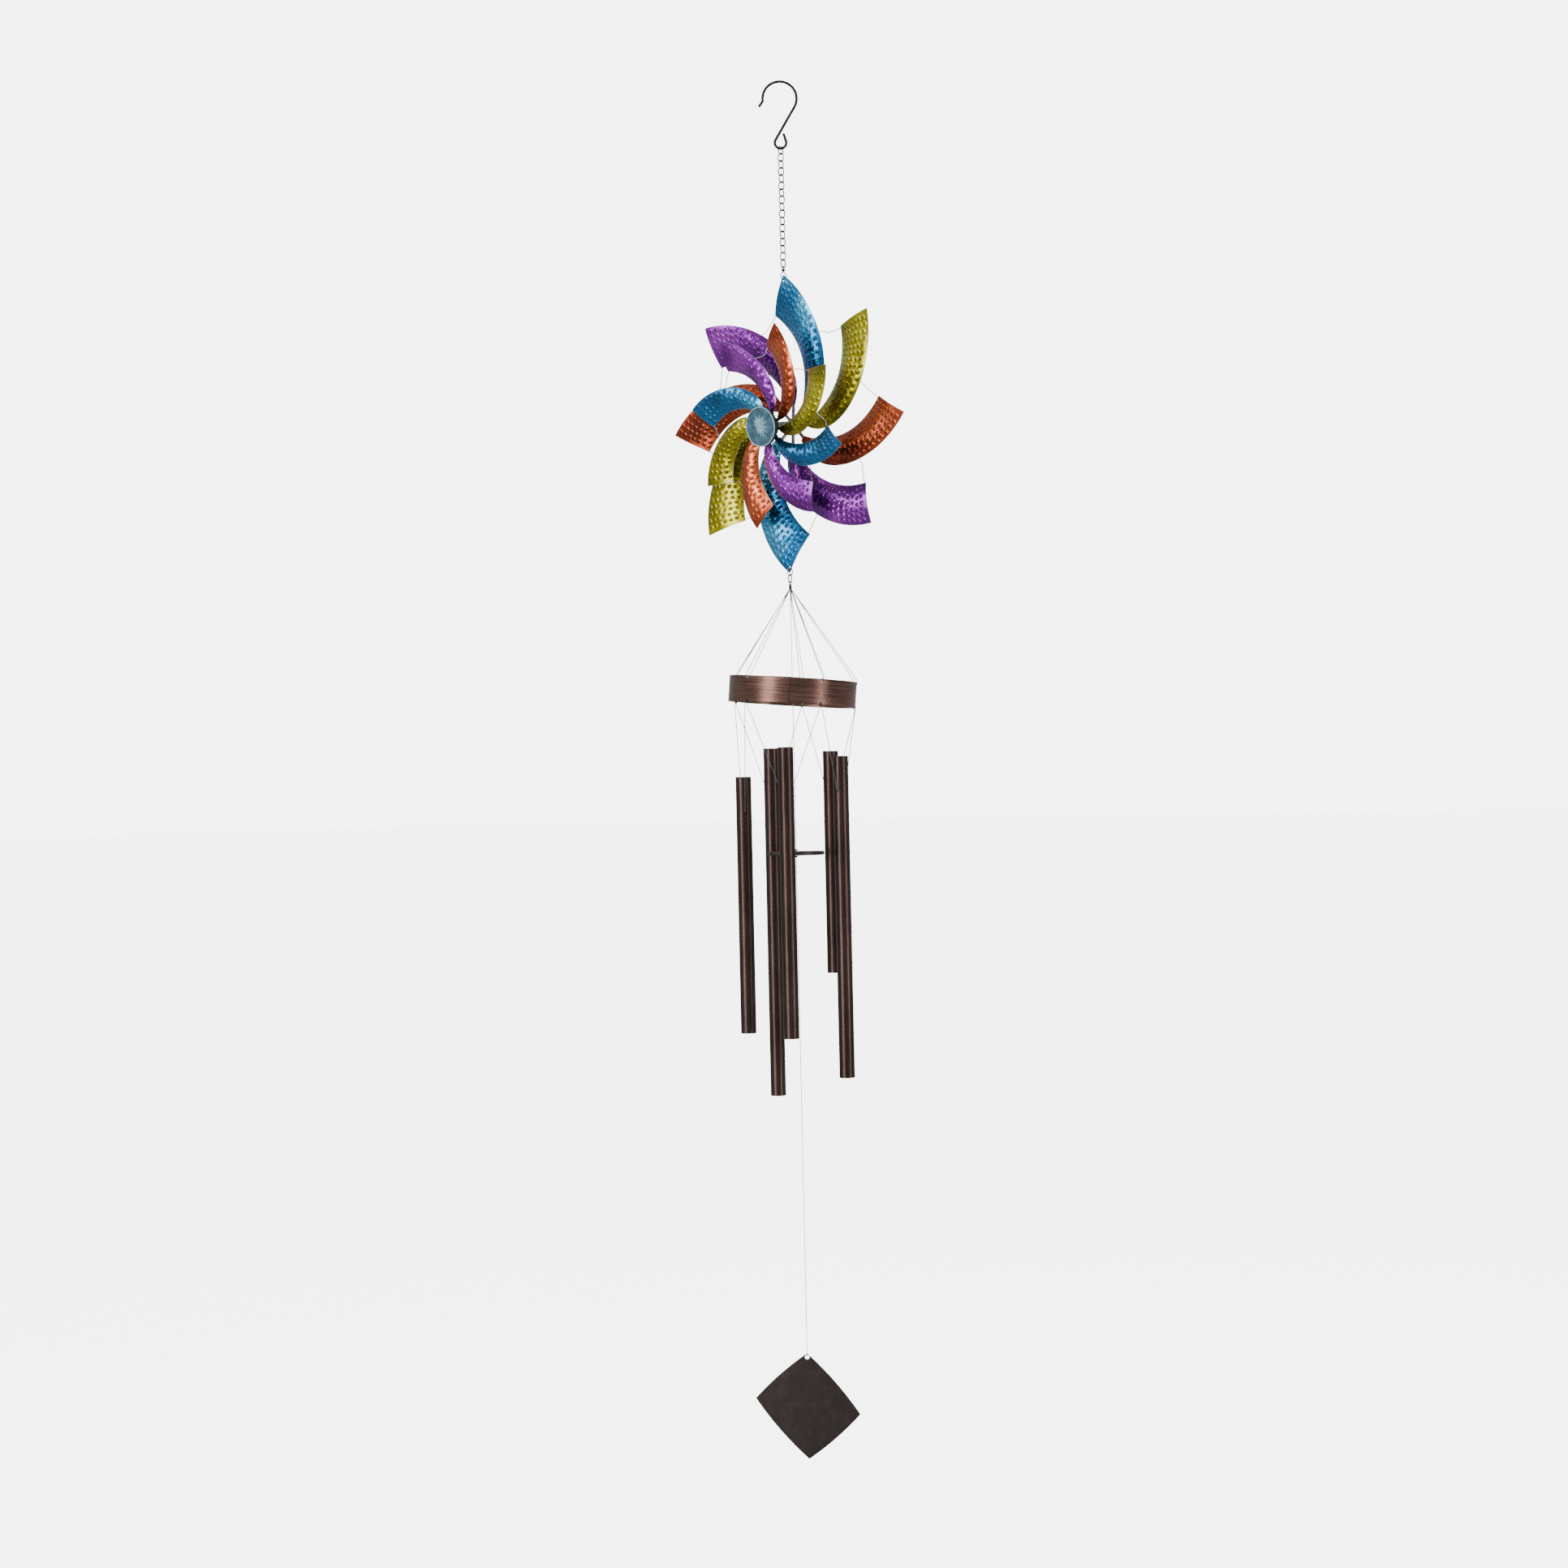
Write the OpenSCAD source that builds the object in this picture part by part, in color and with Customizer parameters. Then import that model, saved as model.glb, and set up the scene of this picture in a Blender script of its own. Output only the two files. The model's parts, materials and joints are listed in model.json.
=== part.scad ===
// Kinetic wind sculpture: a hook and chain, a fixed wheel of eight cupped blades, a smaller wheel that
// spins in front of it, and a wind chime with five tubes, a striker and a sail.
// The origin is where the hook rests on its support. +Z is up and the wheels face -Y.

/* [Hook] */
// Diameter of the hook's wire
hook_wire = 2.3; // [1.6:0.1:3]
// Radius of the hook's bend, to the middle of the wire
hook_bend = 14; // [10:0.5:20]
// Radius of the hook's lower eye, to the middle of the wire
hook_eye = 4.7; // [3.8:0.1:6]
// Height from the middle of the bend to the middle of the eye
hook_span = 36.3; // [30:0.5:50]
// Direction that the hook's plane faces, about the vertical
hook_turn = 40; // [0:5:90]

/* [Chain] */
// Diameter of the chain's wire
link_wire = 0.95; // [0.7:0.05:1.2]
// Width of a link, between the middles of its sides
link_wide = 5.4; // [4.8:0.1:7]
// Distance from one link to the next
link_pitch = 5.8; // [5.4:0.1:8]

/* [Swivel and rings] */
// Wire of the swivel's loops and of the lower ring
ring_wire = 0.9; // [0.7:0.05:1.2]
// Radius of the swivel's top loop, to the middle of the wire
swivel_loop = 1.6; // [1.4:0.1:2.4]
// Diameter of the swivel's barrel
barrel_d = 2.8; // [2.6:0.1:4]
// Height of the swivel's barrel
barrel_h = 2; // [1.8:0.1:4]
// Radius of the rings that pass through the blade tips, to the middle of the wire
tip_ring = 3.2; // [3.1:0.1:4]

/* [Wheels] */
// Radius of the back wheel, to its blade tips
back_r = 122.5; // [90:0.5:160]
// Radius of the front wheel, to its blade tips
front_r = 85; // [60:0.5:110]
// Thickness of the blades' sheet
sheet = 0.7; // [0.5:0.1:1]
// How far the front wheel's tips are in front of the back wheel's
wheel_gap = 24.3; // [20:0.5:40]
// Turn of the front wheel against the back wheel
front_turn = 14; // [0:1:44]
// How far the axle droops
axle_droop = 6; // [0:1:8]
// How far the axle turns away to the side
axle_yaw = 4; // [0:1:6]
// Distance from a drilled blade tip to its hole
tip_hole_in = 4.6; // [4.4:0.1:4.8]
// Diameter of the hole in a drilled blade tip
tip_hole_d = 1.8; // [1.5:0.1:2]
// Diameter of the wires that tie the blades together
tie_wire = 0.9; // [0.6:0.1:1.2]

/* [Axle] */
// Diameter of the axle bolt
axle_d = 3; // [2.5:0.5:4]
// Running clearance round the axle, on the radius
axle_clear = 0.08; // [0.05:0.01:0.1]
// Thickness of the two hub plates
hub_t = 1.2; // [1:0.1:2]
// Width of the spokes behind the blades' roots
spoke_wide = 2.6; // [2:0.1:4]

/* [Medallion] */
// Diameter of the medallion
medal_d = 33; // [28:1:40]
// Thickness of the medallion's disc
medal_t = 3.5; // [3:0.5:5]
// How far the medallion's face is in front of the front wheel's tips
medal_out = 6.7; // [6:0.1:10]

/* [Chime] */
// Outer diameter of the chime's band
band_d = 105; // [100:1:130]
// Height of the band
band_h = 22; // [16:1:30]
// Thickness of the band
band_t = 0.8; // [0.6:0.1:1.2]
// Height from the gathered lines to the middle of the band
band_drop = 84.3; // [70:1:110]
// Tilt of the band as it hangs
band_tilt = 4.5; // [0:0.5:6]
// Direction of the first hole round the band
band_turn = 48.5; // [0:0.5:72]
// Diameter of the lines
line_d = 0.6; // [0.5:0.05:0.8]

/* [Tubes] */
// Outer diameter of a tube
tube_d = 12.7; // [10:0.1:14]
// Wall of a tube
tube_wall = 0.9; // [0.7:0.1:1.5]
// Length of the shortest tube
tube_short = 184; // [150:1:220]
// How much longer each next tube is
tube_step = 26.2; // [20:0.2:30]
// Distance from a tube's top to its side holes
tube_hole_in = 29; // [20:1:40]

/* [Striker and sail] */
// Diameter of the striker
striker_d = 46.7; // [40:0.1:50]
// Thickness of the striker
striker_t = 3; // [2:0.5:5]
// Height from the gathered lines to the striker
striker_drop = 217; // [190:1:240]
// Height from the striker to the sail's hole
sail_drop = 414; // [350:1:450]
// Length of the sail's shorter side
sail_w = 55.8; // [45:0.1:65]
// Length of the sail's longer side
sail_h = 66.7; // [55:0.1:80]
// Thickness of the sail
sail_t = 1; // [0.6:0.1:2]
// Direction that the sail faces, about the vertical
sail_turn = 40; // [0:5:90]

/* [Hidden] */
BLADES = 8;
LINKS = 17;
GROUP = 3;
TUBES = 5;
$fn = 48;

gap = 0.05;                     // between linked wires
hook_gap = 0.25;                // between the hook's eye and the first link, which swings across it
black = "#1c1c1e";
silver = "#b9bcc0";
bronze = "#5b3a30";
line_colour = "#2a2a2c";
blue = "#2f78a8";
gold = "#b0a02c";
copper = "#a8452a";
purple = "#8e2f9c";
BACK_COLOURS = [blue, gold, copper, purple];
FRONT_COLOURS = [copper, gold, blue, purple];

// heights, from the origin down
bend_z = hook_wire / 2 - hook_bend;
eye_z = bend_z - hook_span;
link_long = link_pitch + link_wire + gap;
first_link_z = eye_z - hook_eye + (hook_wire + link_wire) / 2 + hook_gap - link_long / 2;
last_link_z = first_link_z - (LINKS - 1) * link_pitch;
swivel_top_z = last_link_z - link_long / 2 + (link_wire + ring_wire) / 2 + gap;
loop_leg = 0.6;
barrel_top_z = swivel_top_z - swivel_loop - loop_leg;
barrel_low_z = barrel_top_z - barrel_h;
swivel_ring_z = barrel_low_z - 0.2 - ring_wire / 2 - tip_ring;
hole_slack = tip_hole_d / 2 - ring_wire / 2 - gap * 2;
top_hole_z = swivel_ring_z - tip_ring - hole_slack;
wheel_z = top_hole_z + tip_hole_in - back_r;
low_hole_z = wheel_z - back_r + tip_hole_in;
lower_ring_z = low_hole_z - hole_slack - tip_ring;
chime_link_z = lower_ring_z - tip_ring + (ring_wire + link_wire) / 2 + gap - link_long / 2;
chime_link_low = chime_link_z - link_long / 2;
chime_link_turn = -23;
chime_turn_most = 45;
whip_loop = (link_wire + line_d) / 2 / cos(chime_turn_most) + gap;   // clear of the link at the end of its turn
whip_top = chime_link_low - whip_loop - 0.2;
whip_h = 4;
whip_d = 2.5;
apex_z = whip_top - whip_h;
band_z = apex_z - band_drop;
striker_z = apex_z - striker_drop;
sail_hole_z = striker_z - sail_drop;
sail_hole_d = 3.7;
sail_hole_in = 3.3;
sail_loop_r = 1.6;
sail_wire_z = sail_hole_z + sail_hole_d / 2 - line_d / 2 - gap * 2;
sail_loop_top = sail_wire_z + 2 * sail_loop_r + line_d / 2;
pivot_len = 6;                  // length of the first piece of a line that swings two ways

// shape of a blade, as shares of its wheel's radius: x across, y out to the tip
OUTER_EDGE = [[0.110, 0.075], [0.42, 0.20], [0.34, 0.76], [0, 1]];
INNER_EDGE = [[0.085, 0.105], [0.15, 0.30], [0.13, 0.56], [-0.131, 0.7445]];
ALONG = 15;
ACROSS = 6;
root_flat = 0.05;
hub_share = 0.165;
hub_back = 0.061;
pitch_back = 0.063;
cup = 0.042;

// ---- small helpers ----
function bezier(p, t) = pow(1 - t, 3) * p[0] + 3 * t * pow(1 - t, 2) * p[1]
    + 3 * t * t * (1 - t) * p[2] + pow(t, 3) * p[3];
function ease(t) = let (c = min(1, max(0, t))) c * c * (3 - 2 * c);
function polar(r, a, z) = [r * cos(a), r * sin(a), z];

module rod(a, b, d) {
    v = b - a;
    long = norm(v);
    translate(a) rotate([0, acos(v.z / long), atan2(v.y, v.x)]) cylinder(h = long, d = d);
}

// a bent wire or line, with a rounded lump at each bend
module wire(points, d) {
    for (i = [0:len(points) - 2]) rod(points[i], points[i + 1], d);
    for (i = [1:len(points) - 2]) translate(points[i]) sphere(d = d * 1.2);
}

// a wire ring standing up in the X-Z plane
module standing_ring(r, d) rotate([90, 0, 0]) rotate_extrude() translate([r, 0]) circle(d = d);

// an arc of wire in the X-Z plane, from angle a, counter-clockwise seen from -Y
module arc(r, d, a, sweep)
    rotate([90, 0, 0]) rotate([0, 0, a]) rotate_extrude(angle = sweep) translate([r, 0]) circle(d = d);

// ---- hook ----
// one bent wire: a flared end, the open bend, the straight shank and the nearly closed eye
hook_cross = asin((hook_bend + hook_eye) / hook_span);      // lean of the shank
eye_close = 17;                                             // lean of the eye's free end
function on_arc(centre_z, r, a) = [r * cos(a), 0, centre_z + r * sin(a)];
flare_start = on_arc(bend_z, hook_bend, 188);
eye_open = on_arc(eye_z, hook_eye, eye_close);
HOOK_PATH = concat(
    [for (t = [1, 0.95, 0.5]) flare_start + t * [-3.4, 0, -4.6]],
    [for (k = [0:24]) on_arc(bend_z, hook_bend, 188 - k / 24 * (188 + hook_cross))],
    [for (k = [0:24]) on_arc(eye_z, hook_eye, 180 - hook_cross + k / 24 * (180 + hook_cross + eye_close))],
    [for (t = [0.5, 0.95, 1]) eye_open + 6.6 * t * [-sin(eye_close), 0, cos(eye_close)]]
);

module s_hook() {
    sides = 16;
    n = len(HOOK_PATH);
    rings = [for (i = [0:n - 1]) let (
        along = HOOK_PATH[min(i + 1, n - 1)] - HOOK_PATH[max(i - 1, 0)],
        t = along / norm(along),
        r = hook_wire / 2 * (i == 0 || i == n - 1 ? 0.6 : 1)
    ) for (j = [0:sides - 1]) HOOK_PATH[i] + r * (cos(j * 360 / sides) * [-t.z, 0, t.x] + sin(j * 360 / sides) * [0, 1, 0])];
    skin = [for (i = [0:n - 2]) for (j = [0:sides - 1]) let (a = i * sides + j, b = i * sides + (j + 1) % sides)
        each [[a, b, b + sides], [a, b + sides, a + sides]]];
    ends = [[for (j = [sides - 1:-1:0]) j], [for (j = [0:sides - 1]) (n - 1) * sides + j]];
    color(black) rotate([0, 0, hook_turn]) polyhedron(points = rings, faces = concat(skin, ends), convexity = 6);
}

// ---- chain ----
module link() {
    leg = link_long - link_wide;
    for (s = [1, -1]) {
        translate([0, 0, s * leg / 2]) arc(link_wide / 2, link_wire, s == 1 ? 0 : 180, 180);
        translate([s * link_wide / 2, 0, -leg / 2]) cylinder(h = leg, d = link_wire);
    }
}

module chain_part(n) {
    first = (n - 1) * GROUP;
    color(black) for (i = [first:min(first + GROUP, LINKS) - 1])
        translate([0, 0, first_link_z - i * link_pitch]) rotate([0, 0, i % 2 == 0 ? 90 : 0]) link();
}

// ---- swivel ----
stem_d = 0.8;
stem_head = 1.5;
barrel_wall = 0.5;

module swivel_eye() color(silver) {
    translate([0, 0, swivel_top_z - swivel_loop]) {
        arc(swivel_loop, ring_wire, 0, 180);
        for (s = [1, -1]) rod([s * swivel_loop, 0, 0], [0, 0, -loop_leg + 0.15], ring_wire);
        for (s = [1, -1]) translate([s * swivel_loop, 0, 0]) sphere(d = ring_wire * 1.02);
    }
    translate([0, 0, barrel_top_z - 0.3]) cylinder(h = 0.3, d = 1.6);
}

module swivel_barrel() color(black) difference() {
    translate([0, 0, barrel_low_z]) cylinder(h = barrel_h - 0.3, d = barrel_d);
    translate([0, 0, barrel_low_z - 1]) cylinder(h = barrel_h, d = stem_d + 2 * gap * 2);
    translate([0, 0, barrel_low_z + barrel_wall]) cylinder(h = 0.7, d = stem_head + 4 * gap);
}

module swivel_ring() color(silver) {
    translate([0, 0, swivel_ring_z]) rotate([0, 0, 90]) standing_ring(tip_ring, ring_wire);
    translate([0, 0, barrel_low_z - 0.4]) cylinder(h = barrel_wall + 0.5, d = stem_d);
    translate([0, 0, barrel_low_z + barrel_wall + gap]) cylinder(h = 0.5, d = stem_head);
}

// ---- blades ----
// how far forward the sheet's middle is; s runs from root to end and t from outer to inner edge
function blade_rise(s, t) = let (k = ease((s - root_flat) / (1 - root_flat)))
    -hub_back * (1 - k) - pitch_back * t * k
    + cup * 4 * t * (1 - t) * ease(s / 0.4) * (1 - 0.55 * ease((s - 0.5) / 0.5));

function blade_point(r, s, t) = let (p = (1 - t) * bezier(OUTER_EDGE, s) + t * bezier(INNER_EDGE, s))
    r * [p.x, p.y, blade_rise(s, t)];

function station(i) = i == 0 ? 0 : root_flat + (1 - root_flat) * (i - 1) / (ALONG - 2);

module blade(r) {
    layer = ALONG * ACROSS;
    middle = [for (i = [0:ALONG - 1]) for (j = [0:ACROSS - 1]) blade_point(r, station(i), j / (ACROSS - 1))];
    points = concat([for (p = middle) p + [0, 0, sheet / 2]], [for (p = middle) p - [0, 0, sheet / 2]]);
    cells = [for (i = [0:ALONG - 2]) for (j = [0:ACROSS - 2]) i * ACROSS + j];
    front = [for (c = cells) each [[c, c + 1, c + ACROSS + 1], [c, c + ACROSS + 1, c + ACROSS]]];
    rim = concat(
        [for (j = [0:ACROSS - 2]) j],
        [for (i = [0:ALONG - 2]) i * ACROSS + ACROSS - 1],
        [for (j = [ACROSS - 1:-1:1]) layer - ACROSS + j],
        [for (i = [ALONG - 1:-1:1]) i * ACROSS]
    );
    n = len(rim);
    sides = [for (k = [0:n - 1]) let (a = rim[k], b = rim[(k + 1) % n])
        each [[b, a, a + layer], [b, a + layer, b + layer]]];
    back = [for (f = front) [f[0] + layer, f[2] + layer, f[1] + layer]];
    polyhedron(points = points, faces = concat(front, back, sides), convexity = 6);
}

// local axes of a wheel: x right, y up and z forward
module on_back_wheel() translate([0, 0, wheel_z]) rotate([90, 0, 0]) children();
module on_axle() translate([0, hub_back * back_r + sheet / 2, wheel_z]) rotate([0, 0, -axle_yaw])
    rotate([axle_droop, 0, 0]) rotate([90, 0, 0]) children();

hub_reach = hub_back * back_r + wheel_gap - hub_back * front_r + sheet / 2;     // from hub plate to hub plate
module on_front_wheel() on_axle() translate([0, 0, hub_reach + hub_back * front_r]) children();

module back_blade(k) color(BACK_COLOURS[(k - 1) % 4]) on_back_wheel() difference() {
    rotate([0, 0, -45 * (k - 1)]) blade(back_r);
    if (k % 4 == 1) rotate([0, 0, -45 * (k - 1)]) translate([0, back_r - tip_hole_in, -back_r / 4])
        cylinder(h = back_r / 2, d = tip_hole_d);
}

module front_blade(k) color(FRONT_COLOURS[(k - 1) % 4]) on_front_wheel()
    rotate([0, 0, -45 * (k - 1) - front_turn]) blade(front_r);

// each wire runs from a blade's inner corner to the outer edge of the blade before it
module ties(r) color(silver) for (k = [0:BLADES - 1]) rotate([0, 0, -45 * k]) {
    near = blade_point(r, 0.60, 0.03);
    corner = blade_point(r, 0.985, 0.97);
    turned = [corner.x * cos(45) + corner.y * sin(45), corner.y * cos(45) - corner.x * sin(45), corner.z];
    rod(near, turned, tie_wire);
}
module back_ties() on_back_wheel() ties(back_r);
module front_ties() on_front_wheel() rotate([0, 0, -front_turn]) ties(front_r);

// ---- axle and hubs; z runs forward from the back hub plate's face ----
nut_wide = axle_d * 1.9;
nut_h = axle_d * 0.8;
head_d = axle_d * 2;
head_h = 2;
lean = tan(acos(cos(axle_droop) * cos(axle_yaw)));      // how steeply the axle leaves the square hub plate
head_z = -hub_t / cos(axle_droop) - head_d / 2 * lean - gap;
nut_z = nut_wide / 2 * lean + gap;
spacer_d = axle_d + 3;
washer_t = 0.6;
front_plate = hub_reach - sheet / 2;            // front hub plate's front face
bushing_d = axle_d + 5;
bushing_back = 4;
bushing_front = 2.5;
bushing_z = front_plate - hub_t - bushing_back;
washer_z = bushing_z - washer_t - gap * 2;
medal_z = front_plate + sheet / 2 + hub_back * front_r + medal_out;
end_nut_z = front_plate + bushing_front + gap * 2;

// a small plate with one spoke behind the root of each blade
spoke_turn = 42.7;              // direction of the first blade's root
module spider(plate_d, r) {
    cylinder(h = hub_t, d = plate_d);
    for (k = [0:BLADES - 1]) rotate([0, 0, spoke_turn - 45 * k]) translate([0, -spoke_wide / 2, 0])
        cube([hub_share * r, spoke_wide, hub_t]);
}

// the spider stands square to the back wheel, and the axle droops out of it
module back_hub() color(silver) difference() {
    on_back_wheel() translate([0, 0, -hub_back * back_r - sheet / 2 - hub_t]) spider(head_d + 5, back_r);
    on_axle() translate([0, 0, -hub_t - 5]) cylinder(h = hub_t + 10, d = axle_d);
}

module axle_bolt() color(silver) on_axle() {
    translate([0, 0, head_z - head_h]) cylinder(h = head_h, d = head_d);
    translate([0, 0, head_z - head_h / 2]) cylinder(h = head_h / 2 - head_z + end_nut_z + nut_h + 0.6, d = axle_d);
}

module nut(z) on_axle() difference() {
    translate([0, 0, z]) cylinder(h = nut_h, d = nut_wide, $fn = 6);
    translate([0, 0, z - 1]) cylinder(h = nut_h + 2, d = axle_d);
}
module axle_nut() color(silver) nut(nut_z);
module end_nut() color(silver) nut(end_nut_z);

module sleeve(z, h, outer, inner) difference() {
    translate([0, 0, z]) cylinder(h = h, d = outer);
    translate([0, 0, z - 1]) cylinder(h = h + 2, d = inner);
}
module spacer_tube() color(silver) on_axle() sleeve(nut_z + nut_h, washer_z - nut_z - nut_h, spacer_d, axle_d);
module thrust_washer() color(silver) on_axle() sleeve(washer_z, washer_t, spacer_d + 1, axle_d);
module bushing() color("#c2a15a") on_axle()
    sleeve(bushing_z, front_plate + bushing_front - bushing_z, bushing_d, axle_d + 2 * axle_clear);
module front_hub() color(silver) on_front_wheel() rotate([0, 0, -front_turn]) difference() {
    translate([0, 0, front_plate - hub_t - hub_reach - hub_back * front_r]) spider(bushing_d + 5, front_r);
    translate([0, 0, -front_r]) cylinder(h = 2 * front_r, d = bushing_d);
}

// ---- medallion: a raised rim, eight leaves and a boss on a disc, on a hollow collar ----
medal_rim = 1.6;
relief = 0.7;
module medallion() color("#6b8f9c") on_axle() difference() {
    union() {
        translate([0, 0, medal_z - medal_t]) cylinder(h = medal_t - relief, d = medal_d);
        translate([0, 0, medal_z - medal_t]) difference() {
            cylinder(h = medal_t, d = medal_d);
            translate([0, 0, -1]) cylinder(h = medal_t + 2, d = medal_d - 2 * medal_rim);
        }
        translate([0, 0, medal_z - medal_t]) cylinder(h = medal_t, d = medal_d * 0.2);
        for (a = [0:45:315]) rotate([0, 0, a]) translate([0, medal_d * 0.26, medal_z - medal_t])
            cylinder(h = medal_t - 0.2, d = medal_d * 0.13);
        translate([0, 0, front_plate]) cylinder(h = medal_z - medal_t - front_plate + 0.5, d = 19);
    }
    translate([0, 0, front_plate - 1]) cylinder(h = medal_z - medal_t - front_plate + 1, d = 12);
}

// ---- rings and link under the wheel ----
module lower_ring() color(silver) translate([0, 0, lower_ring_z]) rotate([0, 0, 90])
    standing_ring(tip_ring, ring_wire);

module chime_link() color(black) translate([0, 0, chime_link_z]) rotate([0, 0, chime_link_turn]) link();

module line_whipping() color(line_colour) {
    translate([0, 0, chime_link_low]) rotate([0, 0, chime_link_turn + 90]) standing_ring(whip_loop, line_d);
    translate([0, 0, apex_z]) cylinder(h = whip_h, d = whip_d);
}

// ---- band; its own axes are tilted about the way the sail faces ----
module on_band() translate([0, 0, band_z]) rotate([0, 0, sail_turn]) rotate([0, band_tilt, 0])
    rotate([0, 0, -sail_turn]) children();

// a point given in the band's own axes
function tilted(p) = let (c = cos(sail_turn), s = sin(sail_turn), a = p.x * c + p.y * s, b = p.y * c - p.x * s,
        a2 = a * cos(band_tilt) + p.z * sin(band_tilt), z2 = p.z * cos(band_tilt) - a * sin(band_tilt))
    [a2 * c - b * s, a2 * s + b * c, z2 + band_z];

band_hole_in = 2.4;
band_hole_d = 1.4;
band_r = band_d / 2;
function hole_turn(i) = band_turn + i * 360 / TUBES;

module chime_band() color(bronze) on_band() difference() {
    translate([0, 0, -band_h / 2]) cylinder(h = band_h, d = band_d, $fn = 96);
    translate([0, 0, -band_h]) cylinder(h = 2 * band_h, d = band_d - 2 * band_t, $fn = 96);
    for (i = [0:TUBES - 1]) for (z = [band_h / 2 - band_hole_in, band_hole_in - band_h / 2])
        rotate([0, 0, hole_turn(i)]) translate([band_r - 3, 0, z]) rotate([0, 90, 0])
            cylinder(h = 6, d = band_hole_d);
}

// two strands to each upper hole, one to the outside of the band and one to its inside, and a short
// loop down from each lower hole
line_out = band_r + line_d / 2 + gap;
module hanger_lines() color(line_colour) for (i = [0:TUBES - 1]) {
    a = hole_turn(i);
    start_r = whip_d / 2 - 0.1;
    rod(polar(start_r, a - 10, apex_z), tilted(polar(line_out, a, band_h / 2 + line_d)), line_d);
    rod(polar(start_r, a + 26, apex_z), tilted(polar(band_r - band_t - line_d, a + 5, band_h / 2 - 2)), line_d);
    rod(tilted(polar(line_out, a, band_hole_in - band_h / 2)), tilted(polar(line_out, a, -band_h / 2 - line_d / 4)), line_d);
}

// ---- tubes ----
TUBE_ORDER = [0, 4, 1, 2, 3];                   // steps longer than the shortest
TOP_DROP = [38.0, 34.7, 58.0, 34.7, 42.7];      // from the band's top edge to each tube's top
function tube_long(i) = tube_short + TUBE_ORDER[i] * tube_step;
function tube_turn(i) = hole_turn(i) + 180 / TUBES;
tube_r = band_r * cos(180 / TUBES);             // the tubes hang at the middle of a chord between two holes
function tube_top(i) = band_z - band_h / 2 - TOP_DROP[i];
tube_hole_d = 1.6;

module on_tube(i) rotate([0, 0, tube_turn(i)]) translate([tube_r, 0, tube_top(i)]) children();

module tube(i) color(bronze) on_tube(i) difference() {
    translate([0, 0, -tube_long(i)]) cylinder(h = tube_long(i), d = tube_d);
    translate([0, 0, -tube_long(i) - 1]) cylinder(h = tube_long(i) + 2, d = tube_d - 2 * tube_wall);
    translate([0, -tube_d, -tube_hole_in]) rotate([-90, 0, 0]) cylinder(h = 2 * tube_d, d = tube_hole_d);
}

// a line from just under the lower hole on each side, through the tube's side holes
module tube_lines(i) color(line_colour) {
    away = tube_d / 2 + line_d;
    z = tube_top(i) - tube_hole_in;
    turn = tube_turn(i);
    ends = [for (s = [-1, 1]) let (a = turn + s * (180 / TUBES - 0.8))
        [tilted(polar(line_out, a, -band_h / 2 - line_d)), polar(tube_r, turn, z) + s * away * [-sin(turn), cos(turn), 0]]];
    wire([ends[0][0], ends[0][1], ends[1][1], ends[1][0]], line_d);
}

// ---- striker and sail ----
knot_d = 2.6;
module centre_line_top() color(line_colour) rod([0, 0, apex_z], [0, 0, apex_z - pivot_len], line_d);
module striker_line() color(line_colour) rod([0, 0, apex_z - pivot_len], [0, 0, striker_z + striker_t / 2 + knot_d], line_d);
module striker() color(bronze) translate([0, 0, striker_z - striker_t / 2]) difference() {
    cylinder(h = striker_t, d = striker_d);
    translate([0, 0, -1]) cylinder(h = striker_t + 2, d = 1.6);
}
module striker_knots() color(line_colour) {
    for (s = [1, -1]) translate([0, 0, striker_z + s * (striker_t + knot_d) / 2]) sphere(d = knot_d);
    translate([0, 0, striker_z - striker_t / 2 - 1]) cylinder(h = striker_t + 2, d = 1.2);
}
module sail_line_top() color(line_colour)
    rod([0, 0, striker_z - striker_t / 2 - knot_d], [0, 0, striker_z - striker_t / 2 - knot_d - pivot_len], line_d);
module sail_line() color(line_colour)
    rod([0, 0, striker_z - striker_t / 2 - knot_d - pivot_len], [0, 0, sail_loop_top], line_d);
module sail_loop() color(line_colour) translate([0, 0, sail_wire_z + sail_loop_r]) rotate([0, 0, sail_turn + 90])
    standing_ring(sail_loop_r, line_d);

// the sail's outline, corner down from its hung corner, with sides that bulge a little
bulge = 0.03;
function side_run(a, b) = [for (k = [0:7]) let (t = k / 8, d = b - a)
    a + t * d + bulge * 4 * t * (1 - t) * [d.y, -d.x]];
module sail() color("#3c3634") {
    lean = atan(sail_w / sail_h);
    corner = [0, sail_hole_in];
    right = corner + sail_h * [sin(lean), -cos(lean)];
    left = corner + sail_w * [-cos(lean), -sin(lean)];
    bottom = right + left - corner;
    translate([0, 0, sail_hole_z]) rotate([0, 0, sail_turn]) rotate([90, 0, 0])
        translate([0, 0, -sail_t / 2]) linear_extrude(sail_t) difference() {
            polygon(concat(side_run(corner, left), side_run(left, bottom), side_run(bottom, right), side_run(right, corner)));
            circle(d = sail_hole_d);
        }
}

s_hook();
for (i = [1:6]) chain_part(i);
swivel_eye();
swivel_barrel();
swivel_ring();
for (k = [1:BLADES]) back_blade(k);
back_hub();
back_ties();
axle_bolt();
axle_nut();
spacer_tube();
thrust_washer();
for (k = [1:BLADES]) front_blade(k);
front_hub();
front_ties();
bushing();
end_nut();
medallion();
lower_ring();
chime_link();
line_whipping();
hanger_lines();
chime_band();
for (i = [1:TUBES]) tube(i - 1);
for (i = [1:TUBES]) tube_lines(i - 1);
centre_line_top();
striker_line();
striker();
striker_knots();
sail_line_top();
sail_line();
sail_loop();
sail();
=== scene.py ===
import json
from math import atan2, cos, hypot, pi, radians, sin

import bmesh
import bpy
from mathutils import Matrix, Vector, noise


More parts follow.
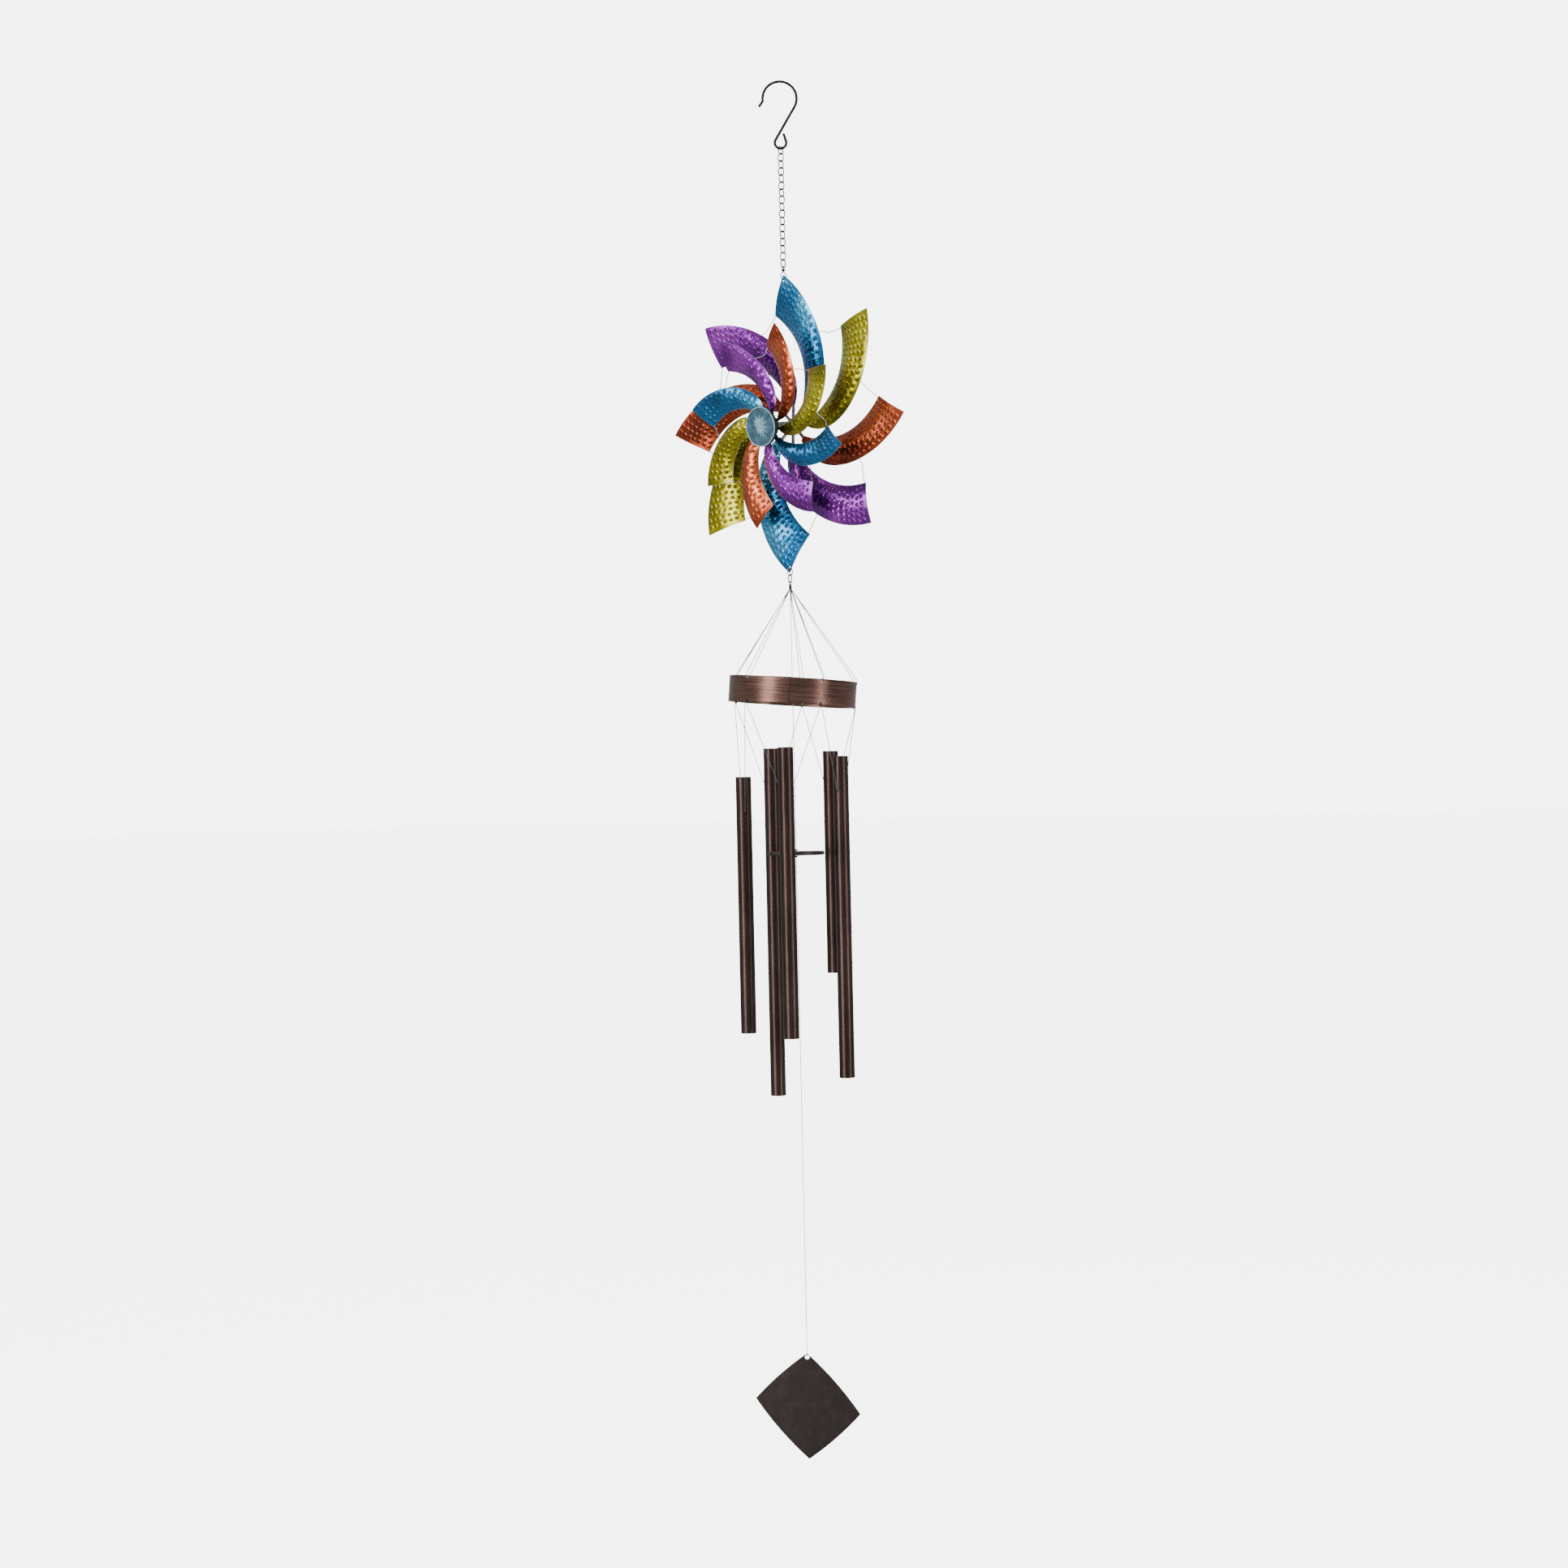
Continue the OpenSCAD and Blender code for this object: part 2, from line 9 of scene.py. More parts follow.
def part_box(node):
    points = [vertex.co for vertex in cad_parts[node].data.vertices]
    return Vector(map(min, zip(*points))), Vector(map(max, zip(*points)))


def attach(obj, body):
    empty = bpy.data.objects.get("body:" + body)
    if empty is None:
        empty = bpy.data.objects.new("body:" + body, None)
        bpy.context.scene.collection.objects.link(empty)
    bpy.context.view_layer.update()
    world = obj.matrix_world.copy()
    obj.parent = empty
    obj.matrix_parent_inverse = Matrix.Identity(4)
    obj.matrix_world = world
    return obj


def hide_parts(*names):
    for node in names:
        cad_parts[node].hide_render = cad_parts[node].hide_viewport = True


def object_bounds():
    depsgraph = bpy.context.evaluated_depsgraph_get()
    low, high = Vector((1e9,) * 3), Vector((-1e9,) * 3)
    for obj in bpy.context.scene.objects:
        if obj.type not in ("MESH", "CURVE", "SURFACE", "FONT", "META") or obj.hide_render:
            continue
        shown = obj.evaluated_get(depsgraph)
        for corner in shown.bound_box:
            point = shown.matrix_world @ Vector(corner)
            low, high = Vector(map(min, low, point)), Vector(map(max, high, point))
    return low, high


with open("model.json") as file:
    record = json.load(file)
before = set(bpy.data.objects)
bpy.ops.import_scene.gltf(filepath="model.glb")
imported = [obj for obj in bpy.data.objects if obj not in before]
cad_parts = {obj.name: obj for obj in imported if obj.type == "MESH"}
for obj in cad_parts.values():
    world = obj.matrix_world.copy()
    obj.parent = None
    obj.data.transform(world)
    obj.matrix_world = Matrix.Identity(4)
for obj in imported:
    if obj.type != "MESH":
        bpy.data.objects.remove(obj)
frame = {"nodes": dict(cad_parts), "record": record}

bl_info = {
    "name": "Kinetic Wind Sculpture",
    "version": (1, 0, 0),
    "blender": (4, 5, 0),
    "location": "3D View > Sidebar > Wind Sculpture",
    "description": "Makes a hanging wind spinner with hammered blades and a five-tube chime",
    "category": "Object",
}

MM = 0.001
CAD_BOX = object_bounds()
JOINTS = {j["name"]: j for j in frame["record"]["behaviour"]["joints"]}


def joint_at(name):
    """Where a joint sits, in metres."""
    return Vector(JOINTS[name]["pos_m"])


def middle(node):
    """Middle of a CAD node's box, in metres."""
    low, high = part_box(node)
    return (Vector(low) + Vector(high)) / 2


# ---- sizes that follow the frame ----
BLADES = 8
TUBES = 5
BACK_R = 122.5
FRONT_R = 85.0
SHEET = 0.7
FRONT_TURN = 14.0
HUB_BACK = 0.061
PITCH_BACK = 0.063
CUP = 0.042
ROOT_FLAT = 0.05
OUTER_EDGE = ((0.110, 0.075), (0.42, 0.20), (0.34, 0.76), (0.0, 1.0))
INNER_EDGE = ((0.085, 0.105), (0.15, 0.30), (0.13, 0.56), (-0.131, 0.7445))
TIP_HOLE_IN = 4.6
TIP_HOLE_D = 1.8
HUB_REACH = HUB_BACK * BACK_R + 24.3 - HUB_BACK * FRONT_R + SHEET / 2
MEDAL_FACE = 38.8
MEDAL_R = 16.5
BAND_R = 52.5
BAND_H = 22.0
BAND_T = 0.8
BAND_TURN = 48.5
BAND_TILT = 4.5
SAIL_TURN = 40.0
HOLE_IN = 2.4
TUBE_R = 6.35
TUBE_WALL = 0.9
TUBE_HOLE_IN = 29.0
LINE_D = 0.6
SCULPTURE_Z = joint_at("rotor_spin").z / MM
APEX_Z = joint_at("chime_turn").z / MM
BAND_Z = middle("chime_band").z / MM

ON_BACK_WHEEL = Matrix.Translation((0, 0, SCULPTURE_Z * MM)) @ Matrix.Rotation(pi / 2, 4, "X")
ON_AXLE = (
    Matrix.Translation((0, (HUB_BACK * BACK_R + SHEET / 2) * MM, SCULPTURE_Z * MM))
    @ Matrix.Rotation(radians(-4), 4, "Z")
    @ Matrix.Rotation(radians(6), 4, "X")
    @ Matrix.Rotation(pi / 2, 4, "X")
)
ON_FRONT_WHEEL = ON_AXLE @ Matrix.Translation((0, 0, (HUB_REACH + HUB_BACK * FRONT_R) * MM))
ON_BAND = (
    Matrix.Translation((0, 0, BAND_Z * MM))
    @ Matrix.Rotation(radians(SAIL_TURN), 4, "Z")
    @ Matrix.Rotation(radians(BAND_TILT), 4, "Y")
    @ Matrix.Rotation(radians(-SAIL_TURN), 4, "Z")
)


# ---- properties ----
class WindFoilSettings(bpy.types.PropertyGroup):
    """Colours and hammering of the blades."""

    blue: bpy.props.StringProperty(name="Blue", description="Blue lacquer, sRGB hex", default="1F74AC")
    gold: bpy.props.StringProperty(name="Gold", description="Gold lacquer, sRGB hex", default="A49A12")
    copper: bpy.props.StringProperty(name="Copper", description="Copper lacquer, sRGB hex", default="A8401C")
    purple: bpy.props.StringProperty(name="Purple", description="Purple lacquer, sRGB hex", default="80229A")
    dimple_pitch: bpy.props.FloatProperty(
        name="Dimple pitch", description="Distance between dimples, in millimetres", default=4.9, min=3, max=9)
    dimple_width: bpy.props.FloatProperty(
        name="Dimple width", description="Width of one dimple, in millimetres", default=3.4, min=1, max=5)
    dimple_depth: bpy.props.FloatProperty(
        name="Dimple depth", description="Height of one dimple, in millimetres", default=0.52, min=0, max=1)
    mesh_step: bpy.props.FloatProperty(
        name="Mesh step", description="Distance between points of the blade's mesh, in millimetres",
        default=0.6, min=0.4, max=2)


class WindWireSettings(bpy.types.PropertyGroup):
    """The lines, the ties and the black ironwork."""

    black: bpy.props.StringProperty(name="Black paint", description="Paint on the hook and chain, sRGB hex",
                                    default="0F1011")
    nickel: bpy.props.StringProperty(name="Nickel", description="Plating on the rings and ties, sRGB hex",
                                     default="B4B2AC")
    line: bpy.props.StringProperty(name="Line", description="Nylon line, sRGB hex", default="66666A")
    line_pale: bpy.props.StringProperty(name="Pale line", description="Bleached nylon line, sRGB hex",
                                        default="A9A9A7")
    tie_width: bpy.props.FloatProperty(
        name="Tie wire", description="Diameter of the wires between blades, in millimetres", default=0.9,
        min=0.4, max=1.5)


class WindChimeSettings(bpy.types.PropertyGroup):
    """The band, tubes, striker and sail."""

    bronze_dark: bpy.props.StringProperty(name="Dark bronze", description="Deep patina, sRGB hex", default="29201E")
    bronze: bpy.props.StringProperty(name="Bronze", description="Rubbed patina, sRGB hex", default="7E5D52")
    tube: bpy.props.StringProperty(name="Tube", description="Rubbed patina of the tubes, sRGB hex", default="4B3B36")
    sail: bpy.props.StringProperty(name="Sail", description="Patina of the sail, sRGB hex", default="332A27")
    waviness: bpy.props.FloatProperty(
        name="Waviness", description="How far the band's edges wander, in millimetres", default=0.35, min=0, max=2)


class WindMedalSettings(bpy.types.PropertyGroup):
    """The medallion."""

    verdigris: bpy.props.StringProperty(name="Verdigris", description="Patina, sRGB hex", default="4E7D92")
    # the rubbed colour stands for rubbed high spots and a painted highlight on the raised pattern
    rubbed: bpy.props.StringProperty(name="Rubbed", description="Rubbed high spots, sRGB hex", default="9CBECA")
    relief: bpy.props.FloatProperty(
        name="Relief", description="Height of the pattern, in millimetres", default=0.75, min=0, max=1.5)


class WindStageSettings(bpy.types.PropertyGroup):
    """Floor and camera."""

    floor: bpy.props.StringProperty(name="Floor", description="Floor and wall, sRGB hex", default="F4F4F2")
    distance: bpy.props.FloatProperty(
        name="Camera distance", description="From the camera to the sculpture", default=3.0, min=1, max=8,
        unit="LENGTH")
    azimuth: bpy.props.FloatProperty(
        name="Camera azimuth", description="Direction of the camera", default=radians(40), subtype="ANGLE",
        unit="ROTATION")
    roll: bpy.props.FloatProperty(
        name="Camera roll", description="Lean of the camera", default=radians(1.26), subtype="ANGLE",
        unit="ROTATION")


# ---- colours and nodes ----
def colour(hex_text):
    """A linear colour from sRGB hex."""
    out = []
    for i in (0, 2, 4):
        c = int(hex_text[i:i + 2], 16) / 255
        out.append(c / 12.92 if c <= 0.04045 else ((c + 0.055) / 1.055) ** 2.4)
    return (*out, 1.0)


def shade(hex_text, factor, lift=0):
    """A darker or lighter hex, by a factor on each channel and a lift."""
    out = [min(255, max(0, round(int(hex_text[i:i + 2], 16) * factor + lift))) for i in (0, 2, 4)]
    return "%02X%02X%02X" % tuple(out)


def per_mm(size):
    """Scale of a pattern whose features are this many millimetres across."""
    return 1 / (size * MM)


def add_node(tree, kind, settings=None, links=None, values=None, stops=()):
    """Adds a node, with its settings, its sockets' values, what feeds them, and a ramp's (position, hex)
    stops."""
    node = tree.nodes.new(kind)
    for key, value in (settings or {}).items():
        setattr(node, key, value)
    for key, value in (values or {}).items():
        node.inputs[key].default_value = value
    for key, socket in (links or {}).items():
        tree.links.new(socket, node.inputs[key])
    for _ in stops[2:]:
        node.color_ramp.elements.new(0.5)
    for element, (position, hex_text) in zip(node.color_ramp.elements if stops else (), stops):
        element.position, element.color = position, colour(hex_text)
    return node


def surface(tree, base, values, rough=None, height=None):
    """Joins a finish's colour, roughness and relief to its shader. rough is a socket, the low and high of
    what it gives, and the roughness at each; height is a socket, a strength and a depth in millimetres."""
    links = {"Base Color": base}
    if rough:
        spread = add_node(tree, "ShaderNodeMapRange", links={"Value": rough[0]},
                          values=dict(zip(("From Min", "From Max", "To Min", "To Max"), rough[1:])))
        links["Roughness"] = spread.outputs["Result"]
    if height:
        bump = add_node(tree, "ShaderNodeBump", links={"Height": height[0]},
                        values={"Strength": height[1], "Distance": height[2] * MM})
        links["Normal"] = bump.outputs["Normal"]
    shader = add_node(tree, "ShaderNodeBsdfPrincipled", links=links, values=values)
    add_node(tree, "ShaderNodeOutputMaterial", links={"Surface": shader.outputs["BSDF"]})


def lacquered_foil(tree, coord, hex_text, glow):
    """Tinted lacquer over embossed tinplate: saturated, mirror-bright on the hammered spots, with painted shade
    darkening each dimple and the lacquer worn thin at the sheet's edges."""
    place = {"Vector": coord.outputs["Object"]}
    dimple_shade_mask = add_node(tree, "ShaderNodeAttribute", {"attribute_name": "dimple"})
    edge = add_node(tree, "ShaderNodeAttribute", {"attribute_name": "edge"})
    cloud = add_node(tree, "ShaderNodeTexNoise", links=place,
                     values={"Scale": per_mm(38), "Detail": 3, "Roughness": 0.55})
    base = add_node(tree, "ShaderNodeValToRGB", links={"Fac": cloud.outputs["Fac"]},
                    stops=[(0.32, shade(hex_text, 0.72)), (0.5, hex_text), (0.68, glow)])
    # painted shade: the lacquer colour is multiplied darker by each dimple's bulge, standing in for shade on the
    # hammered spots
    dimple_shade = add_node(tree, "ShaderNodeMix", {"data_type": "RGBA", "blend_type": "MULTIPLY"},
                      links={0: dimple_shade_mask.outputs["Fac"], 6: base.outputs["Color"]}, values={7: colour("8C8C8C")})
    wear = add_node(tree, "ShaderNodeTexNoise", links=place, values={"Scale": per_mm(3), "Detail": 4})
    worn = add_node(tree, "ShaderNodeMath", {"operation": "MULTIPLY_ADD"},
                    links={0: wear.outputs["Fac"], 2: edge.outputs["Fac"]}, values={1: 0.5})
    mask = add_node(tree, "ShaderNodeMapRange", links={"Value": worn.outputs[0]},
                    values={"From Min": 1.05, "From Max": 1.35, "To Min": 0, "To Max": 0.75})
    bare = add_node(tree, "ShaderNodeMix", {"data_type": "RGBA"},
                    links={0: mask.outputs["Result"], 6: dimple_shade.outputs[2]}, values={7: colour("C9CDCB")})
    fine = add_node(tree, "ShaderNodeTexNoise", links=place, values={"Scale": per_mm(1.4), "Detail": 3})
    surface(tree, bare.outputs[2], {"Metallic": 0.92, "Coat Weight": 0.3, "Coat Roughness": 0.1},
            (fine.outputs["Fac"], 0.3, 0.7, 0.22, 0.32), (fine.outputs["Fac"], 0.06, 0.1))


def mottled(values, size, stops, rough=None, height=None, detail=4):
    """Makes the function for a plain finish whose colour, roughness and relief follow one noise.
    size is the noise's in millimetres; stops are (position, factor, lift) on the finish's colour."""
    def build(tree, coord, hex_text):
        grain = add_node(tree, "ShaderNodeTexNoise", links={"Vector": coord.outputs["Object"]},
                         values={"Scale": per_mm(size), "Detail": detail}).outputs["Fac"]
        base = add_node(tree, "ShaderNodeValToRGB", links={"Fac": grain},
                        stops=[(at, shade(hex_text, factor, lift)) for at, factor, lift in stops])
        surface(tree, base.outputs["Color"], values,
                rough and (grain, 0.3, 0.7, *rough), height and (grain, *height))
    return build


# The sheared edge of the lacquered sheet: bright tinplate with a tint of the lacquer.
cut_edge = mottled({"Metallic": 0.85, "Roughness": 0.32}, 1.5, [(0.35, 0.7, 30), (0.65, 0.55, 110)], detail=3)
# Nickel-plated steel: bright and slightly warm, with drawing marks and dull spots.
plated_steel = mottled({"Metallic": 1.0}, 2.5, [(0.3, 0.62, 0), (0.55, 1, 0), (0.75, 1.1, 0)],
                       rough=(0.34, 0.2), height=(0.15, 0.05))
# Nylon line: glossy, half clear, a little uneven along its length.
nylon_line = mottled({"Roughness": 0.35, "Transmission Weight": 0.25, "IOR": 1.53}, 14,
                     [(0.35, 0.75, 0), (0.65, 1.15, 0)], detail=3)
bleached_line = mottled({"Roughness": 0.35, "Transmission Weight": 0.45, "IOR": 1.53}, 14,
                        [(0.35, 0.75, 0), (0.65, 1.15, 0)], detail=3)


def turned_brass(tree, coord, tarnished, bright):
    """Turned brass: yellow metal with patches of brown tarnish."""
    tarnish = add_node(tree, "ShaderNodeTexNoise", links={"Vector": coord.outputs["Object"]},
                       values={"Scale": per_mm(3), "Detail": 4})
    base = add_node(tree, "ShaderNodeValToRGB", links={"Fac": tarnish.outputs["Fac"]},
                    stops=[(0.35, tarnished), (0.6, bright)])
    surface(tree, base.outputs["Color"], {"Metallic": 1.0, "Roughness": 0.3})


def painted_steel(tree, coord, hex_text):
    """Black powder paint on steel wire: satin, with a fine orange-peel skin and greyer high spots."""
    place = {"Vector": coord.outputs["Object"]}
    peel = add_node(tree, "ShaderNodeTexNoise", links=place, values={"Scale": per_mm(0.8), "Detail": 3})
    wear = add_node(tree, "ShaderNodeTexNoise", links=place, values={"Scale": per_mm(6), "Detail": 4})
    base = add_node(tree, "ShaderNodeValToRGB", links={"Fac": wear.outputs["Fac"]},
                    stops=[(0.35, shade(hex_text, 0.7)), (0.62, hex_text), (0.78, shade(hex_text, 1, 26))])
    surface(tree, base.outputs["Color"], {"Specular IOR Level": 0.35},
            (wear.outputs["Fac"], 0.3, 0.7, 0.36, 0.54), (peel.outputs["Fac"], 0.3, 0.05))


def brushed_bronze(tree, coord, dark, light, vector, stretch, streak):
    """Bronze patina on sheet or tube, rubbed back along the work: brown-black in the pits, pinkish brown
    where it is rubbed, with long fine brush marks. The marks are drawn coarser than real ones, streak
    millimetres wide, so that they show."""
    place = {"Vector": coord.outputs["Object"]}
    mapped = add_node(tree, "ShaderNodeMapping", links={"Vector": coord.outputs[vector]},
                      values={"Scale": stretch})
    brush = add_node(tree, "ShaderNodeTexNoise", links={"Vector": mapped.outputs["Vector"]},
                     values={"Scale": per_mm(streak), "Detail": 4, "Roughness": 0.6})
    cloud = add_node(tree, "ShaderNodeTexNoise", links=place,
                     values={"Scale": per_mm(30), "Detail": 2, "Roughness": 0.4})
    speck = add_node(tree, "ShaderNodeTexNoise", links=place, values={"Scale": per_mm(1.1), "Detail": 2})
    faint = add_node(tree, "ShaderNodeMapRange", links={"Value": cloud.outputs["Fac"]},
                     values={"From Min": 0, "From Max": 1, "To Min": 0.34, "To Max": 0.66})
    mixed = add_node(tree, "ShaderNodeMath", {"operation": "MULTIPLY_ADD"},
                     links={0: brush.outputs["Fac"], 2: faint.outputs["Result"]}, values={1: 0.6})
    both = add_node(tree, "ShaderNodeMath", {"operation": "MULTIPLY_ADD"},
                    links={0: speck.outputs["Fac"], 2: mixed.outputs[0]}, values={1: 0.25})
    base = add_node(tree, "ShaderNodeValToRGB", links={"Fac": both.outputs[0]},
                    stops=[(0.72, dark), (1.0, light)])
    surface(tree, base.outputs["Color"], {"Metallic": 0.95},
            (brush.outputs["Fac"], 0.3, 0.7, 0.26, 0.38), (brush.outputs["Fac"], 0.2, 0.06))


def speckled_patina(tree, coord, hex_text):
    """Dark bronze patina stippled on with a brush: nearly black with fine brown and grey specks."""
    place = {"Vector": coord.outputs["Object"]}
    specks = add_node(tree, "ShaderNodeTexVoronoi", links=place, values={"Scale": per_mm(0.7)})
    cloud = add_node(tree, "ShaderNodeTexNoise", links=place,
                     values={"Scale": per_mm(9), "Detail": 6, "Roughness": 0.7})
    mixed = add_node(tree, "ShaderNodeMath", {"operation": "MULTIPLY_ADD"},
                     links={0: specks.outputs["Distance"], 2: cloud.outputs["Fac"]},
                     values={1: 0.35}).outputs[0]
    base = add_node(tree, "ShaderNodeValToRGB", links={"Fac": mixed},
                    stops=[(0.36, shade(hex_text, 0.82)), (0.68, hex_text), (0.95, shade(hex_text, 1.3, 5))])
    surface(tree, base.outputs["Color"], {"Metallic": 0.45}, (mixed, 0.4, 0.9, 0.62, 0.42), (mixed, 0.35, 0.12))


def verdigris_zinc(tree, coord, hex_text, rubbed):
    """Cast zinc with a blue-green wash: dull blue in the hollows, pale on the raised lines from rubbing and a painted
    highlight, and nearly black on the rim's sides and the back as painted shade.
    """
    relief = add_node(tree, "ShaderNodeAttribute", {"attribute_name": "relief"})
    cloud = add_node(tree, "ShaderNodeTexNoise", links={"Vector": coord.outputs["Object"]},
                     values={"Scale": per_mm(5), "Detail": 5, "Roughness": 0.65})
    wash = add_node(tree, "ShaderNodeMath", {"operation": "MULTIPLY_ADD"},
                    links={0: cloud.outputs["Fac"], 2: relief.outputs["Fac"]}, values={1: 0.6}).outputs[0]
    base = add_node(tree, "ShaderNodeValToRGB", links={"Fac": wash},
                    stops=[(0.02, "1A282F"), (0.36, shade(hex_text, 0.62)), (0.52, hex_text), (1.0, rubbed)])
    surface(tree, base.outputs["Color"], {"Metallic": 0.35}, (wash, 0.3, 1.2, 0.55, 0.34),
            (cloud.outputs["Fac"], 0.25, 0.2))


def whipping_thread(tree, coord, hex_text):
    """Waxed black thread: dull, with a slight sheen and the twist of its plies."""
    plies = add_node(tree, "ShaderNodeTexWave", {"bands_direction": "DIAGONAL"},
                     links={"Vector": coord.outputs["Object"]},
                     values={"Scale": per_mm(0.5) / 20, "Distortion": 1.5, "Detail": 2}).outputs["Fac"]
    base = add_node(tree, "ShaderNodeValToRGB", links={"Fac": plies},
                    stops=[(0.2, shade(hex_text, 0.6)), (0.8, shade(hex_text, 1.0, 18))])
    surface(tree, base.outputs["Color"], {"Roughness": 0.62, "Sheen Weight": 0.3}, height=(plies, 0.5, 0.08))


def lit_paper(tree, coord, hex_text):
    """Seamless matt paper on a light table: even white with the faintest fibre."""
    fibre = add_node(tree, "ShaderNodeTexNoise", links={"Vector": coord.outputs["Object"]},
                     values={"Scale": per_mm(60), "Detail": 2})
    base = add_node(tree, "ShaderNodeValToRGB", links={"Fac": fibre.outputs["Fac"]},
                    stops=[(0.3, shade(hex_text, 0.985)), (0.7, hex_text)])
    surface(tree, base.outputs["Color"], {"Roughness": 0.9, "Specular IOR Level": 0.1,
                                          "Emission Color": colour(hex_text), "Emission Strength": 5.6})


# a material's name, its function and what that is given; a text with a dot is a property
FINISHES = {
    "black": ("black painted steel", painted_steel, "wire.black"),
    "nickel": ("nickel-plated steel", plated_steel, "wire.nickel"),
    "brass": ("turned brass", turned_brass, "6E5428", "B8954C"),
    "band": ("brushed bronze band", brushed_bronze, "chime.bronze_dark", "chime.bronze",
             "UV", (0.02, 1, 1), 1.0),
    "tube": ("drawn bronze tube", brushed_bronze, "chime.bronze_dark", "chime.tube",
             "Object", (1, 1, 0.02), 0.4),
    "sail": ("speckled bronze sail", speckled_patina, "chime.sail"),
    "medal": ("verdigris zinc", verdigris_zinc, "medal.verdigris", "medal.rubbed"),
    "line": ("smoke nylon line", nylon_line, "wire.line"),
    "pale line": ("pale nylon line", bleached_line, "wire.line_pale"),
    "thread": ("waxed black thread", whipping_thread, "1B1B1D"),
    "floor": ("matt paper", lit_paper, "stage.floor"),
}
for foil, glow in (("blue", "4FB0D8"), ("gold", "CFCB2C"), ("copper", "D0663A"), ("purple", "B048C4")):
    FINISHES[foil] = (f"{foil} lacquered foil", lacquered_foil, f"foil.{foil}", glow)
    FINISHES[f"{foil} edge"] = (f"{foil} cut edge", cut_edge, f"foil.{foil}")
MATERIALS = {}


def material_for(key):
    """The one material of that finish, made when first asked for."""
    if key not in MATERIALS:
        name, build, *given = FINISHES[key]
        for i, value in enumerate(given):
            if isinstance(value, str) and "." in value:
                group, prop = value.split(".")
                given[i] = getattr(getattr(bpy.context.scene, f"wind_{group}"), prop)
        material = MATERIALS[key] = bpy.data.materials.new(name)
        material.use_nodes = True
        tree = material.node_tree
        tree.nodes.clear()
        build(tree, add_node(tree, "ShaderNodeTexCoord"), *given)
    return MATERIALS[key]


# ---- modelling helpers ----
def declare(obj, body, node=None):
    """Tells the frame which body a piece rides, by hanging it on that body's empty, and hides the CAD node that it
    stands for.
    """
    if node:
        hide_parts(node)
    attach(obj, body)


def object_from(bm, name, materials, crease=35.0):
    """A finished object from a bmesh, smooth except where faces meet sharper than the crease."""
    mesh = bpy.data.meshes.new(name)
    bm.to_mesh(mesh)
    bm.free()
    return link_mesh(mesh, name, materials, crease)


def link_mesh(mesh, name, materials, crease=35.0):
    """An object of that mesh, in the scene, with its materials."""
    mesh.shade_smooth()
    mesh.set_sharp_from_angle(angle=radians(crease))
    for key in materials:
        mesh.materials.append(material_for(key))
    obj = bpy.data.objects.new(name, mesh)
    bpy.context.scene.collection.objects.link(obj)
    return obj


def apply_modifiers(obj, crease=35.0):
    """Bakes an object's modifiers into its mesh."""
    evaluated = obj.evaluated_get(bpy.context.evaluated_depsgraph_get())
    mesh = bpy.data.meshes.new_from_object(evaluated)
    obj.modifiers.clear()
    old, obj.data = obj.data, mesh
    mesh.name = obj.name
    bpy.data.meshes.remove(old)
    mesh.shade_smooth()
    mesh.set_sharp_from_angle(angle=radians(crease))


def cut_with(obj, cutter_bm, crease=35.0):
    """Cuts a closed mesh out of an object."""
    mesh = bpy.data.meshes.new("cutter")
    cutter_bm.to_mesh(mesh)
    cutter_bm.free()
    cutter = bpy.data.objects.new("cutter", mesh)
    bpy.context.scene.collection.objects.link(cutter)
    modifier = obj.modifiers.new("holes", "BOOLEAN")
    modifier.operation, modifier.solver, modifier.object = "DIFFERENCE", "EXACT", cutter
    apply_modifiers(obj, crease)
    bpy.data.objects.remove(cutter)
    bpy.data.meshes.remove(mesh)


def peg(bm, at, axis, width, length, sides=24):
    """Adds a closed peg, for a hole or a pin, centred at a point along an axis, in metres."""
    turn = Vector((0, 0, 1)).rotation_difference(Vector(axis)).to_matrix().to_4x4()
    bmesh.ops.create_cone(bm, cap_ends=True, segments=sides, radius1=width / 2, radius2=width / 2, depth=length,
                          matrix=Matrix.Translation(at) @ turn)


def smooth_copy(node, name, body, material, crease=40.0):
    """A merged, smoothly shaded copy of a CAD node, in a better finish, that stands for it."""
    bm = bmesh.new()
    bm.from_mesh(frame["nodes"][node].data)
    bmesh.ops.remove_doubles(bm, verts=bm.verts, dist=1e-6)
    for face in bm.faces:
        face.material_index = 0
    obj = object_from(bm, name, [material], crease)
    declare(obj, body, node)
    return obj


def wire_curve(name, lines, width, material, cyclic=False, sides=5):
    """A curve object that draws round wire along lists of points, in metres."""
    data = bpy.data.curves.new(name, "CURVE")
    data.dimensions = "3D"
    data.bevel_depth = width / 2
    data.bevel_resolution = sides
    data.use_fill_caps = True
    for points in lines:
        spline = data.splines.new("POLY")
        spline.points.add(len(points) - 1)
        for place, point in zip(spline.points, points):
            place.co = (*point, 1)
        spline.use_cyclic_u = cyclic
        spline.use_smooth = True
    data.materials.append(material_for(material))
    obj = bpy.data.objects.new(name, data)
    bpy.context.scene.collection.objects.link(obj)
    return obj


def wire_mesh(name, lines, width, material, cyclic=False, sides=4):
    """The same wire as a mesh object."""
    curve = wire_curve(name + "_path", lines, width, material, cyclic, sides)
    mesh = bpy.data.meshes.new_from_object(curve.evaluated_get(bpy.context.evaluated_depsgraph_get()))
    data = curve.data
    bpy.data.objects.remove(curve)
    bpy.data.curves.remove(data)
    mesh.name = name
    mesh.materials.clear()
    return link_mesh(mesh, name, [material], 50)


